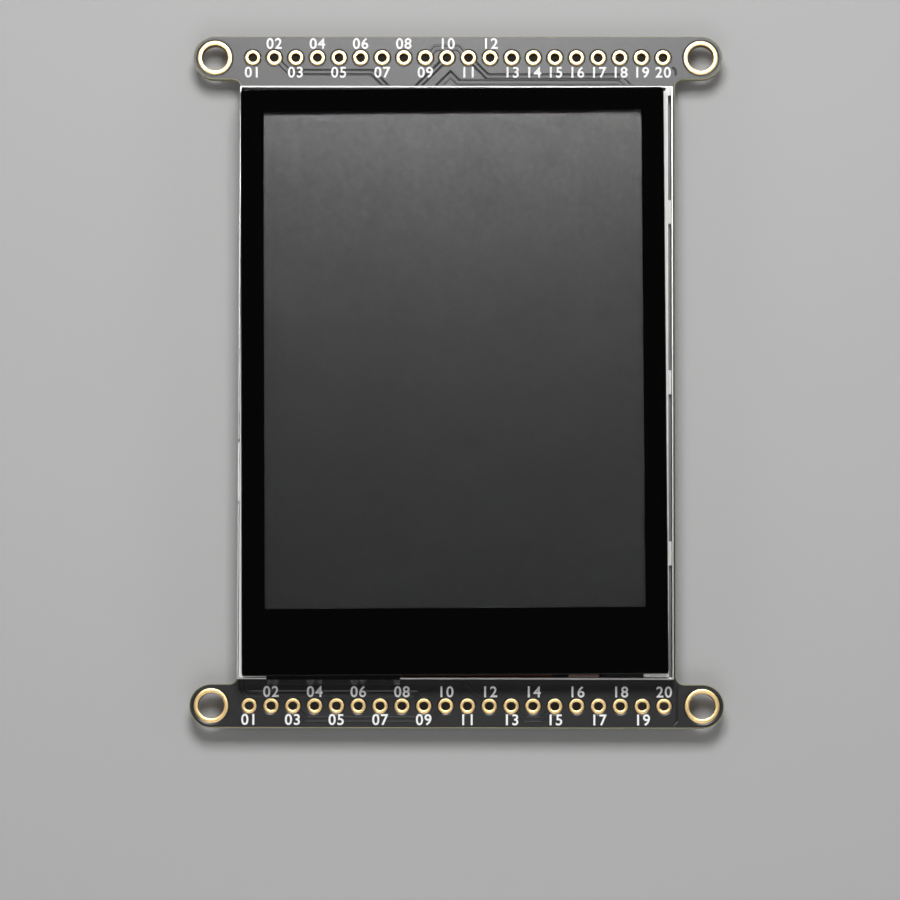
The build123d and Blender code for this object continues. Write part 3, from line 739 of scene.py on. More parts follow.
def weave_group():
    """The cloth of the glass fibre core: two crossed waves."""
    group, given, made = new_group(
        "Fibre cloth", [("Pitch", "NodeSocketFloat", 0.0005)], [("Height", "NodeSocketFloat")]
    )
    axes = object_axes(group)
    turns = maths(group, "DIVIDE", 2 * math.pi, given.outputs["Pitch"])
    waves = [maths(group, "SINE", maths(group, "MULTIPLY", axes[axis], turns)) for axis in ("X", "Y")]
    product = maths(group, "MULTIPLY", *waves)
    group.links.new(ranged(group, product, 0.5, 1.0), made.inputs["Height"])
    return group


GROUP_MAKERS = {
    "Fine grain": grain_group,
    "Tone drift": drift_group,
    "Rolling marks": brushed_group,
    "Fibre cloth": weave_group,
}


def shared(tree, name, **values):
    """A node in this tree that uses a shared group, with its own values."""
    group = bpy.data.node_groups.get(name) or GROUP_MAKERS[name]()
    node = tree.nodes.new("ShaderNodeGroup")
    node.node_tree = group
    for label, value in values.items():
        node.inputs[label].default_value = value
    return node


# Finishes


def rgba(colour, share=1.0):
    """A colour with alpha, made darker or lighter by a share."""
    return (*[channel * share for channel in colour[:3]], 1.0)


def surface(name, **sockets):
    """A new material, its node tree and its surface shader with these plain values."""
    material = bpy.data.materials.new(name)
    material.use_nodes = True
    tree = material.node_tree
    shader = tree.nodes["Principled BSDF"]
    for label, value in sockets.items():
        shader.inputs[label.replace("_", " ")].default_value = value
    return material, tree, shader


def dress(tree, shader, colour, roughness, height, depth):
    """Feeds a surface shader its colour, its roughness and a bump of this depth in millimetres."""
    tree.links.new(colour, shader.inputs["Base Color"])
    tree.links.new(roughness, shader.inputs["Roughness"])
    if depth:
        node = tree.nodes.new("ShaderNodeBump")
        node.inputs["Distance"].default_value = depth * MM
        tree.links.new(height, node.inputs["Height"])
        tree.links.new(node.outputs["Normal"], shader.inputs["Normal"])


def finish(name, colour, shade=0.85, low=0.4, high=0.5, size=0.2, depth=0.002, drift=3.0, **sockets):
    """A finish with slow drift in its tone and fine grain: sizes and depth are in millimetres."""
    material, tree, shader = surface(name, **sockets)
    tone = shared(tree, "Tone drift", Colour=rgba(colour), Shade=rgba(colour, shade), Size=drift * MM)
    grain = shared(tree, "Fine grain", Low=low, High=high, Size=size * MM)
    dress(tree, shader, tone.outputs[0], grain.outputs["Roughness"], grain.outputs["Height"], depth)
    return material


def rolled_metal(name, colour, stretch, low=0.24, high=0.38, depth=0.0015):
    """Sheet metal with its rolling marks."""
    material, tree, shader = surface(name, Metallic=1.0)
    tone = shared(tree, "Tone drift", Colour=rgba(colour), Shade=rgba(colour, 0.8), Size=2.5 * MM)
    marks = shared(tree, "Rolling marks", Stretch=stretch, Low=low, High=high)
    dress(tree, shader, tone.outputs[0], marks.outputs["Roughness"], marks.outputs["Height"], depth)
    return material


def tray_finish(stretch):
    """Sheet steel with painted shade inside the tray: below its rim it is painted darker, and it is
    rougher there.
    """
    rim_depth, rim_width = 0.15, 0.1
    # A dark grey painted inside the tray as shade, with the rougher finish that goes with it
    painted_shade_tone, inside_roughness = (0.26, 0.255, 0.25), 0.6
    material, tree, shader = surface("tray_steel", Metallic=1.0)
    marks = shared(tree, "Rolling marks", Stretch=stretch, Low=0.26, High=0.4)
    axes = object_axes(tree)
    inside = maths(tree, "LESS_THAN", axes["Z"], (TRAY_HIGH.z - rim_depth) * MM)
    middle = (TRAY_LOW + TRAY_HIGH) / 2
    half = (TRAY_HIGH - TRAY_LOW) / 2
    for axis in range(2):
        off = maths(tree, "ABSOLUTE", maths(tree, "SUBTRACT", axes[axis], middle[axis] * MM))
        within = maths(tree, "LESS_THAN", off, (half[axis] - rim_width) * MM)
        inside = maths(tree, "MULTIPLY", inside, within)
    bright = shared(
        tree, "Tone drift", Colour=(0.66, 0.66, 0.65, 1), Shade=(0.5, 0.5, 0.49, 1), Size=2.5 * MM
    )
    # Painted shade: inside the tray, below its rim, the steel's colour is swapped for the dark grey
    tone = mixed(tree, inside, bright.outputs[0], rgba(painted_shade_tone))
    rough = maths(tree, "MULTIPLY", inside, inside_roughness)
    rough = maths(tree, "MAXIMUM", marks.outputs["Roughness"], rough)
    dress(tree, shader, tone, rough, marks.outputs["Height"], 0.0015)
    return material


def core_finish(colour):
    """Cut glass fibre board: yellow green, with the cloth showing."""
    material, tree, shader = surface("glass_fibre_core", Subsurface_Weight=0.15, Subsurface_Scale=0.0005)
    tone = shared(tree, "Tone drift", Colour=rgba(colour), Shade=rgba(colour, 0.6), Size=0.6 * MM)
    grain = shared(tree, "Fine grain", Low=0.45, High=0.7, Size=0.15 * MM)
    cloth = shared(tree, "Fibre cloth", Pitch=0.5 * MM)
    dress(tree, shader, tone.outputs[0], grain.outputs["Roughness"], cloth.outputs["Height"], 0.01)
    return material


def clear_finish(name, ior, tint):
    """Clear glass that light passes through on its way to what lies below."""
    material, tree, shader = surface(
        name, Base_Color=rgba(tint), Transmission_Weight=1.0, IOR=ior, Roughness=0.0
    )
    drift = shared(tree, "Fine grain", Low=0.0, High=0.012, Size=6 * MM)
    tree.links.new(drift.outputs["Roughness"], shader.inputs["Roughness"])
    path = tree.nodes.new("ShaderNodeLightPath")
    open_way = tree.nodes.new("ShaderNodeBsdfTransparent")
    mix = tree.nodes.new("ShaderNodeMixShader")
    tree.links.new(path.outputs["Is Shadow Ray"], mix.inputs[0])
    tree.links.new(shader.outputs[0], mix.inputs[1])
    tree.links.new(open_way.outputs[0], mix.inputs[2])
    tree.links.new(mix.outputs[0], tree.nodes["Material Output"].inputs["Surface"])
    return material


def sheer_finish(name, colour, alpha):
    """A thin clear layer inside the stack, which only tints what lies below it."""
    return finish(name, colour, shade=0.95, low=0.05, high=0.1, depth=0.0, Alpha=alpha)


def flex_finish():
    """Amber film over copper, with the lines of the copper along the cable."""
    material, tree, shader = surface("flat_cable_film", Coat_Weight=0.35, Coat_Roughness=0.15)
    conductor_pitch = 0.5 * MM
    turns = maths(tree, "MULTIPLY", object_axes(tree)["X"], 2 * math.pi / conductor_pitch)
    line = ranged(tree, maths(tree, "SINE", turns), 0.0, 1.0)
    tone = mixed(tree, line, (0.05, 0.017, 0.007, 1), (0.11, 0.038, 0.014, 1))
    grain = shared(tree, "Fine grain", Low=0.3, High=0.45, Size=0.3 * MM)
    dress(tree, shader, tone, grain.outputs["Roughness"], line, 0.01)
    return material


def mask_finish(colour):
    """Black satin solder mask over copper."""
    return finish(
        "solder_mask", colour, shade=0.7, low=0.30, high=0.36, size=0.35, depth=0.0015, drift=2.0,
        IOR=1.5,
    )


def gold_finish(colour):
    """Gold flash over nickel, satin, with painted shade inside the holes: darker brown away from the
    board's faces.
    """
    material, tree, shader = surface("gold_plating", Metallic=1.0)
    tone = shared(tree, "Tone drift", Colour=rgba(colour), Shade=rgba(colour, 0.85), Size=0.8 * MM)
    grain = shared(tree, "Fine grain", Low=0.30, High=0.42, Size=0.12 * MM)
    middle = (BOARD_LOW.z + BOARD_HIGH.z) / 2 * MM
    half_thickness = (BOARD_HIGH.z - BOARD_LOW.z) / 2 * MM
    shade_fade_depth = 0.25 * MM
    off = maths(tree, "ABSOLUTE", maths(tree, "SUBTRACT", object_axes(tree)["Z"], middle))
    inside = tree.nodes.new("ShaderNodeMapRange")
    inside.interpolation_type = "SMOOTHSTEP"
    inside.inputs["From Min"].default_value = half_thickness
    inside.inputs["From Max"].default_value = half_thickness - shade_fade_depth
    tree.links.new(off, inside.inputs["Value"])
    # Painted shade: the bore turns dark brown towards the middle of the board's thickness
    colour = mixed(tree, inside.outputs["Result"], tone.outputs[0], rgba((0.16, 0.07, 0.025)))
    dress(tree, shader, colour, grain.outputs["Roughness"], grain.outputs["Height"], 0.003)
    return material


def make_finishes():
    """Every finish of the part, by the record's slot or by its own name."""
    colours = bpy.context.scene.display_colours
    along_x = (60.0, 5000.0, 5000.0)
    return {
        "solder_mask": mask_finish(colours.mask),
        "core": core_finish(colours.core),
        "gold_plating": gold_finish(colours.gold),
        "ink": finish("printed_ink", colours.ink, shade=0.93, low=0.45, high=0.6, depth=0.002),
        "solder": finish("solder", (0.72, 0.72, 0.71), low=0.18, high=0.32, size=0.4, Metallic=1.0),
        "foam_tape": finish("foam_tape", (0.03, 0.03, 0.031), low=0.8, high=0.95, size=0.12, depth=0.04),
        "tray_steel": tray_finish(along_x),
        "frame_white": finish("frame_white", (0.84, 0.84, 0.82), low=0.5, high=0.65, depth=0.004),
        "reflector": finish("reflector", (0.85, 0.86, 0.88), low=0.12, high=0.2, Metallic=0.8),
        "clear_plastic": finish("light_guide", (0.85, 0.87, 0.88), low=0.08, high=0.15, Alpha=0.35),
        "film": finish("optical_film", (0.8, 0.81, 0.81), low=0.4, high=0.55, Alpha=0.7),
        "flex_copper": flex_finish(),
        "led_body": finish("led_body", (0.85, 0.78, 0.45), low=0.4, high=0.5),
        "polarizer": finish(
            "screen_film", colours.film, shade=0.92, low=0.195, high=0.205, size=0.08, depth=0.0003,
            drift=8.0, Specular_IOR_Level=0.84,
        ),
        "cell_glass": clear_finish("cell_glass", 1.5, (0.9, 0.93, 0.92)),
        "silicon": finish("silicon", (0.06, 0.06, 0.075), low=0.12, high=0.2),
        "lens_glass": clear_finish("lens_glass", 1.5, (1.0, 1.0, 1.0)),
        "sensor": sheer_finish("sensor_sheet", (0.02, 0.02, 0.02), 0.03),
        "border_ink": finish(
            "border_ink", colours.border, low=0.9, high=1.0, depth=0.0, Specular_IOR_Level=0.0
        ),
        "clear_adhesive": sheer_finish("clear_adhesive", (0.02, 0.02, 0.02), 0.02),
        "connector_plastic": finish(
            "connector_plastic", (0.66, 0.58, 0.42), low=0.4, high=0.52, size=0.1, depth=0.006
        ),
        "latch_plastic": finish("latch_plastic", (0.022, 0.022, 0.023), low=0.35, high=0.5, depth=0.006),
        "stiffener_blue": finish("stiffener_blue", (0.03, 0.11, 0.33), low=0.3, high=0.4),
        "tinned_metal": finish(
            "tinned_metal", (0.7, 0.7, 0.69), low=0.25, high=0.42, size=0.1, Metallic=1.0
        ),
        "socket_steel": rolled_metal("socket_steel", (0.72, 0.72, 0.7), (5000.0, 60.0, 5000.0)),
        "black_plastic": finish("black_plastic", (0.02, 0.02, 0.021), low=0.4, high=0.55, depth=0.006),
        "epoxy": finish(
            "mould_compound", (0.028, 0.028, 0.03), low=0.5, high=0.65, size=0.08, depth=0.01
        ),
        "capacitor_ceramic": finish("capacitor_ceramic", (0.42, 0.29, 0.17), low=0.35, high=0.5),
        "resistor_ceramic": finish("resistor_glaze", (0.018, 0.018, 0.02), low=0.2, high=0.35),
        "edge_tape_black": finish(
            "edge_tape", (0.003, 0.003, 0.0032), low=0.26, high=0.34, size=0.6, depth=0.003, IOR=1.33
        ),
    }


FINISHES = {}

# Which solids of the frame take which finish

SOLIDS = {
    "solder_mask": "circuit_board",
    "gold_plating": """
        header_pads_top_row header_pads_bottom_row mount_hole_plating card_socket_contacts jumper_pads
    """,
    "foam_tape": "mounting_tape rim_tape touch_gasket",
    "tray_steel": "backlight_tray",
    "frame_white": "backlight_frame",
    "reflector": "reflector_film",
    "clear_plastic": "light_guide",
    "film": "diffuser_film prism_film_lower prism_film_upper",
    "flex_copper": "led_strip lcd_flex touch_flex",
    "led_body": "backlight_leds",
    "polarizer": "rear_polarizer front_polarizer",
    "cell_glass": "tft_glass colour_filter_glass",
    "silicon": "driver_chip",
    "sensor": "sensor_glass",
    "lens_glass": "cover_lens",
    "border_ink": "lens_border",
    "clear_adhesive": "optical_adhesive",
    "connector_plastic": "lcd_connector_housing touch_connector_housing",
    "latch_plastic": "lcd_connector_latch touch_connector_latch",
    "stiffener_blue": "lcd_flex_stiffener touch_flex_stiffener",
    "tinned_metal": """
        lcd_connector_contacts touch_connector_contacts bus_buffer_leads level_shifter_leads
        regulator_leads backlight_transistor_leads touch_controller_pads capacitor_terminations
        resistor_terminations
    """,
    "socket_steel": "card_socket_cover",
    "black_plastic": "card_socket_base",
    "epoxy": """
        bus_buffer_body level_shifter_body regulator_body backlight_transistor_body
        touch_controller_body
    """,
    "capacitor_ceramic": "capacitor_bodies",
    "resistor_ceramic": "resistor_bodies",
    "edge_tape_black": "edge_tape",
}

# Solids with eased edges, and the width of the easing in millimetres

EASED = {
    "backlight_tray": 0.06,
    "backlight_frame": 0.06,
    "lcd_connector_housing": 0.06,
    "touch_connector_housing": 0.06,
    "lcd_connector_latch": 0.05,
    "touch_connector_latch": 0.05,
    "card_socket_cover": 0.06,
    "card_socket_base": 0.06,
    "capacitor_bodies": 0.06,
    "resistor_bodies": 0.03,
    "capacitor_terminations": 0.06,
    "resistor_terminations": 0.04,
    "backlight_leds": 0.04,
}


# Operators, one for each piece or group of like pieces


class DISPLAY_OT_finishes(bpy.types.Operator):
    """Make the finishes and give one to every solid of the frame"""

    bl_idname = "display.finishes"
    bl_label = "Make the finishes"

    def execute(self, context):
        FINISHES.update(make_finishes())
        for slot, nodes in SOLIDS.items():
            for node in nodes.split():
                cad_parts[node].data.materials.clear()
                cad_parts[node].data.materials.append(FINISHES[slot])
        for node, width in EASED.items():
            ease_solid(node, width)
        return {"FINISHED"}


def cable_slot():
    """Lowest and highest corner of the slot that lets the flat cables through the board."""
    lcd_low, _ = box_mm("lcd_flex")
    _, touch_high = box_mm("touch_flex")
    reach = 1.3
    middle_y = -30.5
    half_width = 1.0
    low = Vector((lcd_low.x - reach, middle_y - half_width))
    high = Vector((touch_high.x + reach, middle_y + half_width))
    return low, high


def slot_outline(low, high):
    """A long hole with round ends."""
    radius = (high.y - low.y) / 2
    middle = (low.y + high.y) / 2
    left = arc((low.x + radius, middle), radius, 90, 270, 16)
    right = arc((high.x - radius, middle), radius, -90, 90, 16)
    return left + right


class DISPLAY_OT_core(bpy.types.Operator):
    """Model the board's glass fibre core with its drilled holes"""

    bl_idname = "display.core"
    bl_label = "Board core"

    def execute(self, context):
        scene = context.scene
        sizes = scene.display_board
        sleeves = scene.display_sleeves
        holes = [circle(c, sleeves.pin_hole + sleeves.wall) for c in pin_places()]
        holes += [circle(c, sleeves.mount_hole + sleeves.wall, 72) for c in mount_places()]
        slot_low, slot_high = cable_slot()
        holes.append(slot_outline(slot_low, slot_high))
        low = BOARD_LOW.z + sizes.mask_thickness
        high = BOARD_HIGH.z - sizes.mask_thickness
        core = plate("board_core", low, high, board_outline(sizes), *holes)
        place(core, FINISHES["core"], "solder_mask", replaced=["circuit_board"])
        return {"FINISHED"}


def meets(spot, centre, nearest=0.01):
    """True for a spot that is the centre of a pin."""
    return all(abs(a - b) < nearest for a, b in zip(spot, centre))


def trace_angles(centre, traces):
    """Directions, in degrees, in which traces and ground bridges leave a pin's ring."""
    angles = []
    for path in traces:
        for start, after in ((path[0], path[1]), (path[-1], path[-2])):
            if meets(start, centre):
                angles.append(math.degrees(math.atan2(after[1] - start[1], after[0] - start[0])))
    if any(meets((pin_x(number), side * ROW_Y), centre) for number, side in GROUND_PINS):
        angles += [0, 90, 180, 270]
    return sorted(angle % 360 for angle in angles)


def well(centre, inner, outer, gaps, low, high):
    """Cutters for the ring of bare mask round a pad, left open where copper crosses it."""
    width = bpy.context.scene.display_board.trace_width
    half = math.degrees(width / 2 / outer)
    degrees_a_step = 11
    if not gaps:
        return [plate("well", low, high, circle(centre, outer, 36))]
    made = []
    for start, end in zip(gaps, gaps[1:] + [gaps[0] + 360]):
        steps = max(int((end - start) / degrees_a_step), 2)
        rim = arc(centre, outer, start + half, end - half, steps)
        made.append(plate("well", low, high, rim + arc(centre, inner, end - half, start + half, steps)))
    return made


def seam(piece, spot, normal):
    """Divides the faces of a piece along a plane."""
    select_only(piece)
    bpy.ops.object.mode_set(mode="EDIT")
    bpy.ops.mesh.select_all(action="SELECT")
    bpy.ops.mesh.bisect(plane_co=spot, plane_no=normal)
    bpy.ops.object.mode_set(mode="OBJECT")


def mask_side(name, traces, grooves, pits, seams, floor_z, top_z, context):
    """The mask of one side of the board: raised over copper, lower in the channels between it.

    It is modelled with its height drawn out, so that an even bevel along a channel's floor becomes
    the long slope of mask that runs down beside copper. The tops of the cutters are staggered,
    because faces in one plane confuse the cut.
    """
    sizes = context.scene.display_board
    sleeves = context.scene.display_sleeves
    pad = pin_ring()
    ring = mount_ring()
    holes = [circle(c, pad - sleeves.edge_round, 32) for c in pin_places()]
    holes += [circle(c, ring - sleeves.edge_round, 64) for c in mount_places()]
    slot_low, slot_high = cable_slot()
    grow = Vector((sizes.bare_rim, sizes.bare_rim))
    holes.append(slot_outline(slot_low - grow, slot_high + grow))
    slope = sizes.copper_slope
    thickness = abs(top_z - floor_z)
    stretch = slope / (thickness - sizes.channel_floor)
    height = thickness * stretch
    bottom = sizes.channel_floor * stretch
    mask = plate(name, 0, height, board_outline(sizes, sizes.bare_rim), *holes)
    for axis, places in enumerate(seams):
        for spot in places:
            at = [0.0, 0.0, 0.0]
            along = [0.0, 0.0, 0.0]
            at[axis] = spot
            along[axis] = 1.0
            seam(mask, at, along)
    overlap, stagger, pit_radius = 0.1, 0.003, 0.28
    over = height + overlap
    cutters = []
    for centre in pin_places():
        ends = trace_angles(centre, traces)
        cutters += well(centre, pad - overlap, pad + sleeves.clearance, ends, bottom, over)
    for centre in mount_places():
        cutters += well(centre, ring - overlap, ring + sleeves.clearance, [], bottom, over)
    gap = (sizes.trace_width + sizes.channel_width) / 2
    bands = [band(path, sizes.channel_width, side) for path in traces for side in (gap, -gap)]
    bands += [band(path, sizes.channel_width) for path in grooves]
    for outline in bands:
        over += stagger
        cutters.append(plate("channel", bottom, over, outline))
    for centre in pits:
        cutters.append(plate("pit", bottom, over, circle(centre, pit_radius, 12)))
    cutter = join("channels", cutters)
    bevel(cutter, lambda edge: sharp(edge) and all(v.co.z < bottom + 1e-4 for v in edge.verts), slope, 1)
    cut(mask, cutter)
    mask.scale.z = (top_z - floor_z) / height
    mask.location.z = floor_z
    mask = join(name, [mask])
    outwards(mask)
    return mask


class DISPLAY_OT_front_mask(bpy.types.Operator):
    """Model the mask of the board's face, with the copper channels that show through it"""

    bl_idname = "display.front_mask"
    bl_label = "Face mask"

    def execute(self, context):
        thickness = context.scene.display_board.mask_thickness
        floor_z = BOARD_HIGH.z - thickness
        mask = mask_side(
            "front_mask", front_traces(), front_grooves(), (), (), floor_z, BOARD_HIGH.z, context
        )
        place(mask, FINISHES["solder_mask"], "solder_mask", smooth=1)
        return {"FINISHED"}


class DISPLAY_OT_back_mask(bpy.types.Operator):
    """Model the mask of the board's back, with its copper traces and small covered holes"""

    bl_idname = "display.back_mask"
    bl_label = "Back mask"

    def execute(self, context):
        floor_z = BOARD_LOW.z + context.scene.display_board.mask_thickness
        vias = [(x, y) for x, column in BACK_VIAS.items() for y in column]
        seams = (BACK_SEAMS_X, BACK_SEAMS_Y)
        mask = mask_side("back_mask", back_traces(), (), vias, seams, floor_z, BOARD_LOW.z, context)
        place(mask, FINISHES["solder_mask"], "solder_mask", smooth=1)
        return {"FINISHED"}


def sleeve(name, bore, ring, steps):
    """One plated sleeve about the origin: a ring on each face and a thin barrel between them."""
    sleeves = bpy.context.scene.display_sleeves
    mask = bpy.context.scene.display_board.mask_thickness
    ease = sleeves.edge_round
    top = ROW_HIGH.z
    under = BOARD_HIGH.z - mask
    middle = (ROW_LOW.z + ROW_HIGH.z) / 2
    shoulder = 0.3 * ease
    half = [
        (bore, top - ease),
        (bore + shoulder, top - shoulder),
        (bore + ease, top),
        (ring - ease, top),
        (ring - shoulder, top - shoulder),
        (ring, top - ease),
        (ring, under),
        (bore + sleeves.wall, under),
    ]
    profile = half + [(r, 2 * middle - z) for r, z in reversed(half)]
    mesh = bpy.data.meshes.new(name)
    count = len(profile)
    edges = [(i, (i + 1) % count) for i in range(count)]
    mesh.from_pydata([(r, 0, z) for r, z in profile], edges, [])
    piece = bpy.data.objects.new(name, mesh)
    bpy.context.scene.collection.objects.link(piece)
    select_only(piece)
    bpy.ops.object.mode_set(mode="EDIT")
    bpy.ops.mesh.select_all(action="SELECT")
    bpy.ops.mesh.spin(steps=steps, angle=2 * math.pi, center=(0, 0, 0), axis=(0, 0, 1))
    bpy.ops.object.mode_set(mode="OBJECT")
    clean(piece)
    return piece


class DISPLAY_OT_sleeves(bpy.types.Operator):
    """Model the plated sleeves of the two pin rows and of the mounting holes"""

    bl_idname = "display.sleeves"
    bl_label = "Plated sleeves"

    def execute(self, context):
        sizes = context.scene.display_sleeves
        spots = pin_places()
        rows = {
            "header_pads_top_row": spots[: sizes.pin_count],
            "header_pads_bottom_row": spots[sizes.pin_count :],
        }
        gold = FINISHES["gold_plating"]
        for node, places in rows.items():
            model = sleeve("sleeve", sizes.pin_hole, pin_ring(), 40)
            name = node.replace("header_pads", "pin_sleeves")
            row = copies(name, model, [(x, y, 0) for x, y in places])
            place(row, gold, "gold_plating", smooth=40, replaced=[node])
        model = sleeve("sleeve", sizes.mount_hole, mount_ring(), 72)
        mounts = copies("mount_sleeves", model, [(x, y, 0) for x, y in mount_places()])
        place(mounts, gold, "gold_plating", smooth=40, replaced=["mount_hole_plating"])
        return {"FINISHED"}


def figures(label, x, y, z, mirrored=False):
    """A printed number centred on a spot, as a mesh."""
    sizes = bpy.context.scene.display_print
    bpy.ops.object.select_all(action="DESELECT")
    bpy.ops.object.text_add(location=(0, 0, 0))
    text = bpy.context.object
    cap_share, spacing = 0.73, 1.12
    text.data.body = label
    text.data.align_x = "CENTER"
    text.data.align_y = "CENTER"
    text.data.size = (sizes.figure_height - 2 * sizes.figure_weight) / cap_share
    text.data.offset = sizes.figure_weight
    text.data.space_character = spacing
    text.data.extrude = sizes.ink_height / 2
    bpy.ops.object.convert(target="MESH")
    text = bpy.context.object
    text.location = (x, y, z)
    if mirrored:
        text.rotation_euler = (0, math.pi, 0)
    bpy.ops.object.transform_apply(location=True, rotation=True, scale=True)
    return text


def pin_labels():
    """Number and place of each printed pin number, at heights taken from the photograph."""
    upper_top, lower_top = ROW_Y + 1.63, ROW_Y - 1.78
    upper_bottom, lower_bottom = -ROW_Y + 1.60, -ROW_Y - 1.65
    last_staggered = 12
    labels = []
    for number, x in enumerate(pin_columns(), 1):
        even = number % 2 == 0
        above = even and number <= last_staggered
        labels.append((f"{number:02d}", x, upper_top if above else lower_top))
        labels.append((f"{number:02d}", x, upper_bottom if even else lower_bottom))
    return labels


class DISPLAY_OT_front_print(bpy.types.Operator):
    """Print a plain number beside each pin hole of the face"""

    bl_idname = "display.front_print"
    bl_label = "Face print"

    def execute(self, context):
        height = context.scene.display_print.ink_height
        z = BOARD_HIGH.z + height / 2
        texts = [figures(label, x, y, z) for label, x, y in pin_labels()]
        numbers = join("front_pin_numbers", texts)
        clean(numbers)
        place(numbers, FINISHES["ink"], "solder_mask")
        return {"FINISHED"}


def frame_line(low, high, margin, z_low, z_high):
    """A printed line round a box."""
    width = bpy.context.scene.display_print.line_width
    sides = (low.x - margin, high.x + margin, low.y - margin, high.y + margin)
    inner = (sides[0] + width, sides[1] - width, sides[2] + width, sides[3] - width)
    return plate("line", z_low, z_high, rectangle(*sides), rectangle(*inner))


def islands(node):
    """The box of each separate solid of a node, in millimetres."""
    shape = bmesh.new()
    shape.from_mesh(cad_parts[node].data)
    bmesh.ops.remove_doubles(shape, verts=shape.verts[:], dist=1e-7)
    left = set(shape.verts)
    boxes = []
    while left:
        reached = [left.pop()]
        for vertex in reached:
            for edge in vertex.link_edges:
                other = edge.other_vert(vertex)
                if other in left:
                    left.remove(other)
                    reached.append(other)
        corners = [[pick(v.co[axis] for v in reached) / MM for axis in range(3)] for pick in (min, max)]
        boxes.append((Vector(corners[0]), Vector(corners[1])))
    shape.free()
    return sorted(boxes, key=lambda box: (round(box[0].x, 3), round(box[0].y, 3)))


# Parts of the back that a printed line goes round, and those with a dot at their first lead

BOXED = (
    "bus_buffer_leads", "level_shifter_leads", "touch_controller_pads", "regulator_leads",
    "backlight_transistor_leads", "card_socket_cover",
)
MARKED = ("bus_buffer_leads", "level_shifter_leads", "touch_controller_pads")


class DISPLAY_OT_back_print(bpy.types.Operator):
    """Print pin numbers and the outlines of the parts on the back"""

    bl_idname = "display.back_print"
    bl_label = "Back print"

    def execute(self, context):
        height = context.scene.display_print.ink_height
        z = BOARD_LOW.z - height / 2
        z_low, z_high = BOARD_LOW.z - height, BOARD_LOW.z
        row_gap, margin, small_margin, cap_reach = 1.7, 0.4, 0.42, 0.45
        dot_aside, dot_radius = 0.75, 0.22
        texts = []
        for number, x in enumerate(pin_columns(), 1):
            for y in (ROW_Y - row_gap, -ROW_Y + row_gap):
                texts.append(figures(f"{number:02d}", x, y, z, mirrored=True))
        numbers = join("back_pin_numbers", texts)
        clean(numbers)
        place(numbers, FINISHES["ink"], "solder_mask")
        lines = []
        for node in BOXED:
            low, high = box_mm(node)
            lines.append(frame_line(low, high, margin, z_low, z_high))
        for node in MARKED:
            _, high = box_mm(node)
            spot = (high.x + dot_aside, high.y + dot_aside)
            lines.append(plate("dot", z_low, z_high, circle(spot, dot_radius, 24)))
        for node in ("capacitor_bodies", "resistor_bodies"):
            for low, high in islands(node):
                ends = Vector((cap_reach, 0.0, 0.0))
                lines.append(frame_line(low - ends, high + ends, small_margin, z_low, z_high))
        outlines = join("back_outlines", lines)
        place(outlines, FINISHES["ink"], "solder_mask")
        return {"FINISHED"}


def solder_pillow():
    """One heap of solder, one unit wide, long and high, with its foot on the back of the board."""
    bpy.ops.object.select_all(action="DESELECT")
    bpy.ops.mesh.primitive_cube_add(size=1.0, location=(0, 0, -0.5))
    piece = bpy.context.object
    bpy.ops.object.transform_apply(location=True, rotation=True, scale=True)
    near_crest, crest_share, rounding = -0.9, 0.6, 0.17
    edit_edges(piece, lambda edge: all(v.co.z < near_crest for v in edge.verts))
    bpy.ops.transform.resize(value=(crest_share, crest_share, 1.0), center_override=(0, 0, -1.0))
    bpy.ops.object.mode_set(mode="OBJECT")
    bevel(piece, lambda edge: any(v.co.z < near_crest for v in edge.verts), rounding, 3)
    return piece


# Feet along a side of each body that solder holds

FEET = {
    "bus_buffer_leads": "bus_buffer_body",
    "level_shifter_leads": "level_shifter_body",
    "regulator_leads": "regulator_body",
    "backlight_transistor_leads": "backlight_transistor_body",
    "card_socket_contacts": "card_socket_cover",
}


class DISPLAY_OT_solder(bpy.types.Operator):
    """Put a heap of solder at every foot and end cap on the back"""

    bl_idname = "display.solder"
    bl_label = "Solder"

    def execute(self, context):
        spots, sizes = [], []

        def heap(low, high, past_x, past_y, height):
            """Notes a heap that reaches past a box by so much along x and along y."""
            spots.append(((low.x + high.x) / 2, (low.y + high.y) / 2, BOARD_LOW.z))
            sizes.append((high.x - low.x + 2 * past_x, high.y - low.y + 2 * past_y, height))

        foot, foot_height, cap_share = 0.55, 0.09, 0.42
        for node, body in FEET.items():
            body_low, body_high = box_mm(body)
            middle = (body_low.x + body_high.x) / 2
            for low, high in islands(node):
                if low.x + high.x > 2 * middle:
                    low = Vector((high.x - foot, low.y, 0))
                else:
                    high = Vector((low.x + foot, high.y, 0))
                heap(low, high, 0.14, 0.07, foot_height)
        for node in ("capacitor_terminations", "resistor_terminations"):
            for low, high in islands(node):
                heap(low, high, 0.26, 0.06, cap_share * (high.z - low.z))
        for node in ("lcd_connector_contacts", "touch_connector_contacts"):
            for low, high in islands(node):
                heap(low, high, 0.05, 0.14, foot_height)
        solder = copies("back_solder", solder_pillow(), spots, sizes)
        place(solder, FINISHES["solder"], "tinned_metal", smooth=60)
        return {"FINISHED"}


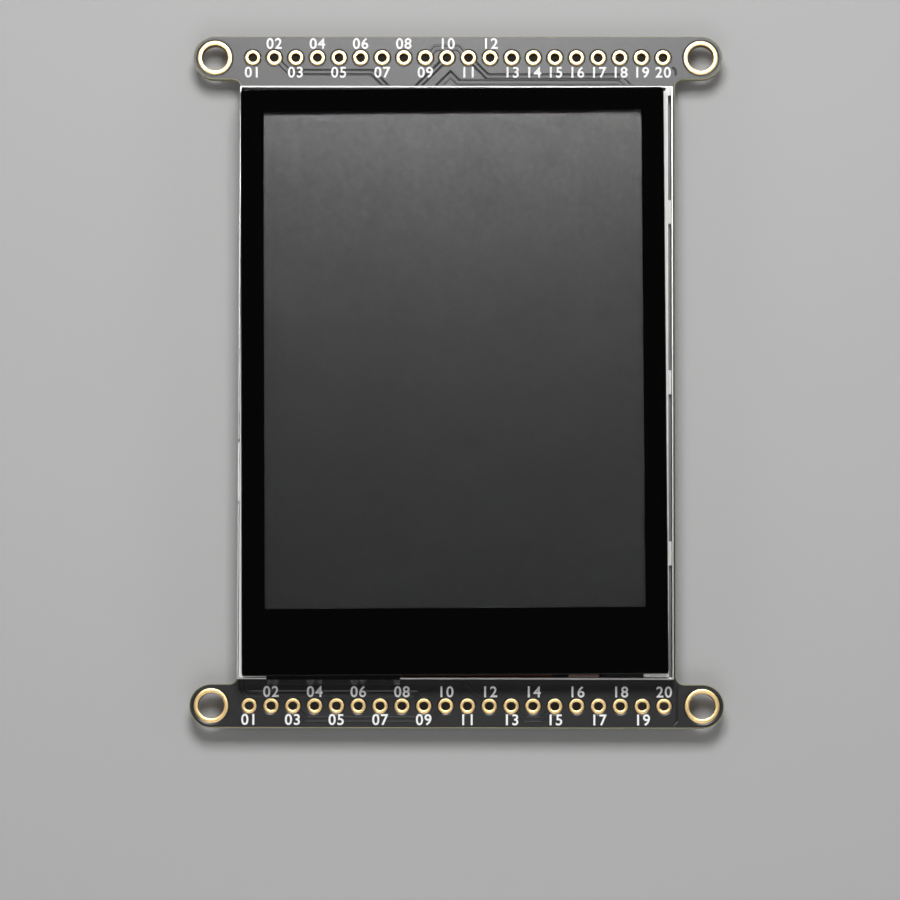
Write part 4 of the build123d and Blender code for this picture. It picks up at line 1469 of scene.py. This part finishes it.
def package(name, node, draft, dimple):
    """A moulded chip body: its sides lean in from the parting line, its edges are eased."""
    low, high = box_mm(node)
    middle = (low + high) / 2
    size = high - low
    bpy.ops.object.select_all(action="DESELECT")
    bpy.ops.mesh.primitive_cube_add(size=1.0, location=middle, scale=size)
    piece = bpy.context.object
    bpy.ops.object.transform_apply(location=True, rotation=True, scale=True)
    bpy.ops.object.mode_set(mode="EDIT")
    bpy.ops.mesh.select_all(action="SELECT")
    bpy.ops.mesh.bisect(plane_co=middle, plane_no=(0, 0, 1))
    bpy.ops.object.mode_set(mode="OBJECT")
    edit_edges(piece, lambda edge: all(abs(v.co.z - middle.z) > size.z / 4 for v in edge.verts))
    lean = (1 - 2 * draft / size.x, 1 - 2 * draft / size.y, 1)
    bpy.ops.transform.resize(value=lean, center_override=middle)
    bpy.ops.object.mode_set(mode="OBJECT")
    bevel(piece, lambda edge: sharp(edge, math.radians(25)), 0.04, 2)
    if dimple:
        inset, depth, clear = 0.55, 0.06, 0.1
        spot = (high.x - draft - inset, high.y - draft - inset)
        cut(piece, plate("dimple", low.z - clear, low.z + depth, circle(spot, dimple, 32)))
        bevel(piece, lambda edge: sharp(edge, math.radians(60)), 0.02, 2)
    return join(name, [piece])


class DISPLAY_OT_packages(bpy.types.Operator):
    """Model the moulded bodies of the chips on the back"""

    bl_idname = "display.packages"
    bl_label = "Chip bodies"

    def execute(self, context):
        for node, draft, dimple in (
            ("bus_buffer_body", 0.1, 0.3),
            ("level_shifter_body", 0.1, 0.3),
            ("regulator_body", 0.09, 0.0),
            ("backlight_transistor_body", 0.09, 0.0),
            ("touch_controller_body", 0.02, 0.25),
        ):
            piece = package(node.replace("_body", "_package"), node, draft, dimple)
            place(piece, FINISHES["epoxy"], "epoxy", replaced=[node])
        return {"FINISHED"}


class DISPLAY_OT_frame_ledge(bpy.types.Operator):
    """Model the parts of the white frame's ledge that show left of the lens and at its top right"""

    bl_idname = "display.frame_ledge"
    bl_label = "Frame ledge"

    def execute(self, context):
        wall, inner, end_gap = 0.22, 0.75, 0.3
        foot_end, foot_width = -22.05, 0.4
        left, bottom = TRAY_LOW.x + wall, TRAY_LOW.y + wall
        right, end = TRAY_HIGH.x - wall, TRAY_HIGH.y - wall
        edge, foot, top = TRAY_LOW.x + inner, bottom + foot_width, end - end_gap
        side = [
            (left, bottom), (foot_end, bottom), (foot_end, foot), (edge, foot), (edge, top), (left, top),
        ]
        corner_width, corner_length = 0.65, 0.9
        corner = rectangle(right - corner_width, right, end - corner_length, end)
        sunk, thickness = 0.01, 0.15
        low, high = TRAY_HIGH.z - sunk - thickness, TRAY_HIGH.z - sunk
        parts = [plate("side", low, high, side), plate("corner", low, high, corner)]
        ledge = join("frame_ledge", parts)
        bevel(ledge, sharp, 0.03, 2)
        place(ledge, FINISHES["frame_white"], "frame_white")
        return {"FINISHED"}


class DISPLAY_OT_stage(bpy.types.Operator):
    """Lay the floor, hang the lights and set the camera"""

    bl_idname = "display.stage"
    bl_label = "Floor, light and camera"

    def execute(self, context):
        studio = context.scene.display_studio
        self.floor(studio)
        self.lamps(studio)
        self.room(context.scene, studio)
        self.camera(context.scene)
        context.scene.view_settings.view_transform = "Standard"
        context.scene.cycles.transparent_max_bounces = 24
        return {"FINISHED"}

    def floor(self, studio):
        """A wide pale floor under the lowest solid."""
        low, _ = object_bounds()
        width = 6.0
        bpy.ops.object.select_all(action="DESELECT")
        bpy.ops.mesh.primitive_plane_add(size=width, location=(0, 0, low.z))
        floor = bpy.context.object
        floor.name = "floor"
        floor.data.materials.append(
            finish("floor", studio.floor, shade=0.97, low=0.6, high=0.7, size=0.8, depth=0.0, drift=60.0)
        )
        floor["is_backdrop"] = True

    def lamps(self, studio):
        """A soft key beyond the top edge, out of what the lens mirrors, two fills and a front light."""
        lamps = [
            ("key", studio.key, 0.14, (0.0, 0.165, 0.35)),
            ("fill_left", studio.fill, 0.3, (-0.75, -0.08, 0.55)),
            ("fill_right", studio.fill, 0.3, (0.75, -0.08, 0.55)),
            ("front", studio.front, 0.3, (0.0, -0.3, 0.5)),
        ]
        for name, power, size, spot in lamps:
            data = bpy.data.lights.new(name, "AREA")
            data.energy = power
            data.size = size
            lamp = bpy.data.objects.new(name, data)
            lamp.location = spot
            lamp.rotation_euler = Vector(spot).to_track_quat("Z", "Y").to_euler()
            bpy.context.scene.collection.objects.link(lamp)

    def room(self, scene, studio):
        """A pale room that is dark overhead, so that the lens has only the dark to mirror."""
        world = bpy.data.worlds.new("studio")
        scene.world = world
        world.use_nodes = True
        tree = world.node_tree
        background = tree.nodes["Background"]
        place_on = tree.nodes.new("ShaderNodeTexCoord")
        parts = tree.nodes.new("ShaderNodeSeparateXYZ")
        fade = tree.nodes.new("ShaderNodeMapRange")
        fade.interpolation_type = "SMOOTHSTEP"
        fade.inputs["From Min"].default_value = 0.62
        fade.inputs["From Max"].default_value = 0.9
        fade.inputs["To Min"].default_value = studio.sky
        fade.inputs["To Max"].default_value = studio.zenith
        tree.links.new(place_on.outputs["Generated"], parts.inputs[0])
        tree.links.new(parts.outputs["Z"], fade.inputs["Value"])
        tree.links.new(fade.outputs["Result"], background.inputs["Strength"])
        background.inputs["Color"].default_value = (1, 1, 1, 1)

    def camera(self, scene):
        """The photograph's camera, fitted to the forty pin holes and the four mounting holes.

        The fit gave its focal length in pixels, its turn about x, y and z, and where the middle of
        the board's face is seen from it, in millimetres.
        """
        image_width = 900
        focal_pixels = 5341.9
        sensor = 36.0
        half_pixel = 0.5 / image_width
        turn = (-0.090753, -0.009485, -0.00198)
        aim = Vector((0.7775, 8.2169, -624.597))
        data = bpy.data.cameras.new("camera")
        data.sensor_width = sensor
        data.shift_x = -half_pixel
        data.shift_y = half_pixel
        data.lens = focal_pixels / image_width * sensor
        data.clip_start = 0.01
        data.clip_end = 20
        camera = bpy.data.objects.new("camera", data)
        tilt, roll, spin = [Matrix.Rotation(angle, 3, axis) for angle, axis in zip(turn, "XYZ")]
        view = tilt @ roll @ spin
        spot = -(view.transposed() @ aim) + Vector((0, 0, BOARD_HIGH.z))
        camera.matrix_world = Matrix.Translation(spot * MM) @ view.transposed().to_4x4()
        scene.collection.objects.link(camera)
        scene.camera = camera


OPERATORS = (
    DISPLAY_OT_finishes,
    DISPLAY_OT_core,
    DISPLAY_OT_front_mask,
    DISPLAY_OT_back_mask,
    DISPLAY_OT_sleeves,
    DISPLAY_OT_front_print,
    DISPLAY_OT_back_print,
    DISPLAY_OT_packages,
    DISPLAY_OT_solder,
    DISPLAY_OT_frame_ledge,
    DISPLAY_OT_stage,
)


GROUPS = {
    "display_board": DisplayBoardSizes,
    "display_sleeves": DisplaySleeveSizes,
    "display_print": DisplayPrintSizes,
    "display_colours": DisplayColours,
    "display_studio": DisplayStudio,
}


class DISPLAY_PT_panel(bpy.types.Panel):
    """Sizes, colours and steps of the display"""

    bl_idname = "DISPLAY_PT_panel"
    bl_label = "Colour display"
    bl_space_type = "VIEW_3D"
    bl_region_type = "UI"
    bl_category = "Display"

    def draw(self, context):
        for name in GROUPS:
            settings = getattr(context.scene, name)
            box = self.layout.box()
            for label in settings.bl_rna.properties.keys():
                if label not in ("rna_type", "name"):
                    box.prop(settings, label)
        for operator in OPERATORS:
            self.layout.operator(operator.bl_idname)


CLASSES = (*GROUPS.values(), *OPERATORS, DISPLAY_PT_panel)


def register():
    """Registers the classes and puts their settings on the scene."""
    for item in CLASSES:
        bpy.utils.register_class(item)
    for name, group in GROUPS.items():
        setattr(bpy.types.Scene, name, PointerProperty(type=group))


def unregister():
    """Takes the settings and classes away again."""
    for name in GROUPS:
        delattr(bpy.types.Scene, name)
    for item in reversed(CLASSES):
        bpy.utils.unregister_class(item)


def main():
    """Runs every step in order."""
    register()
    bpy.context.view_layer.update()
    for operator in OPERATORS:
        family, step = operator.bl_idname.split(".")
        getattr(getattr(bpy.ops, family), step)()


if __name__ == "__main__":
    main()
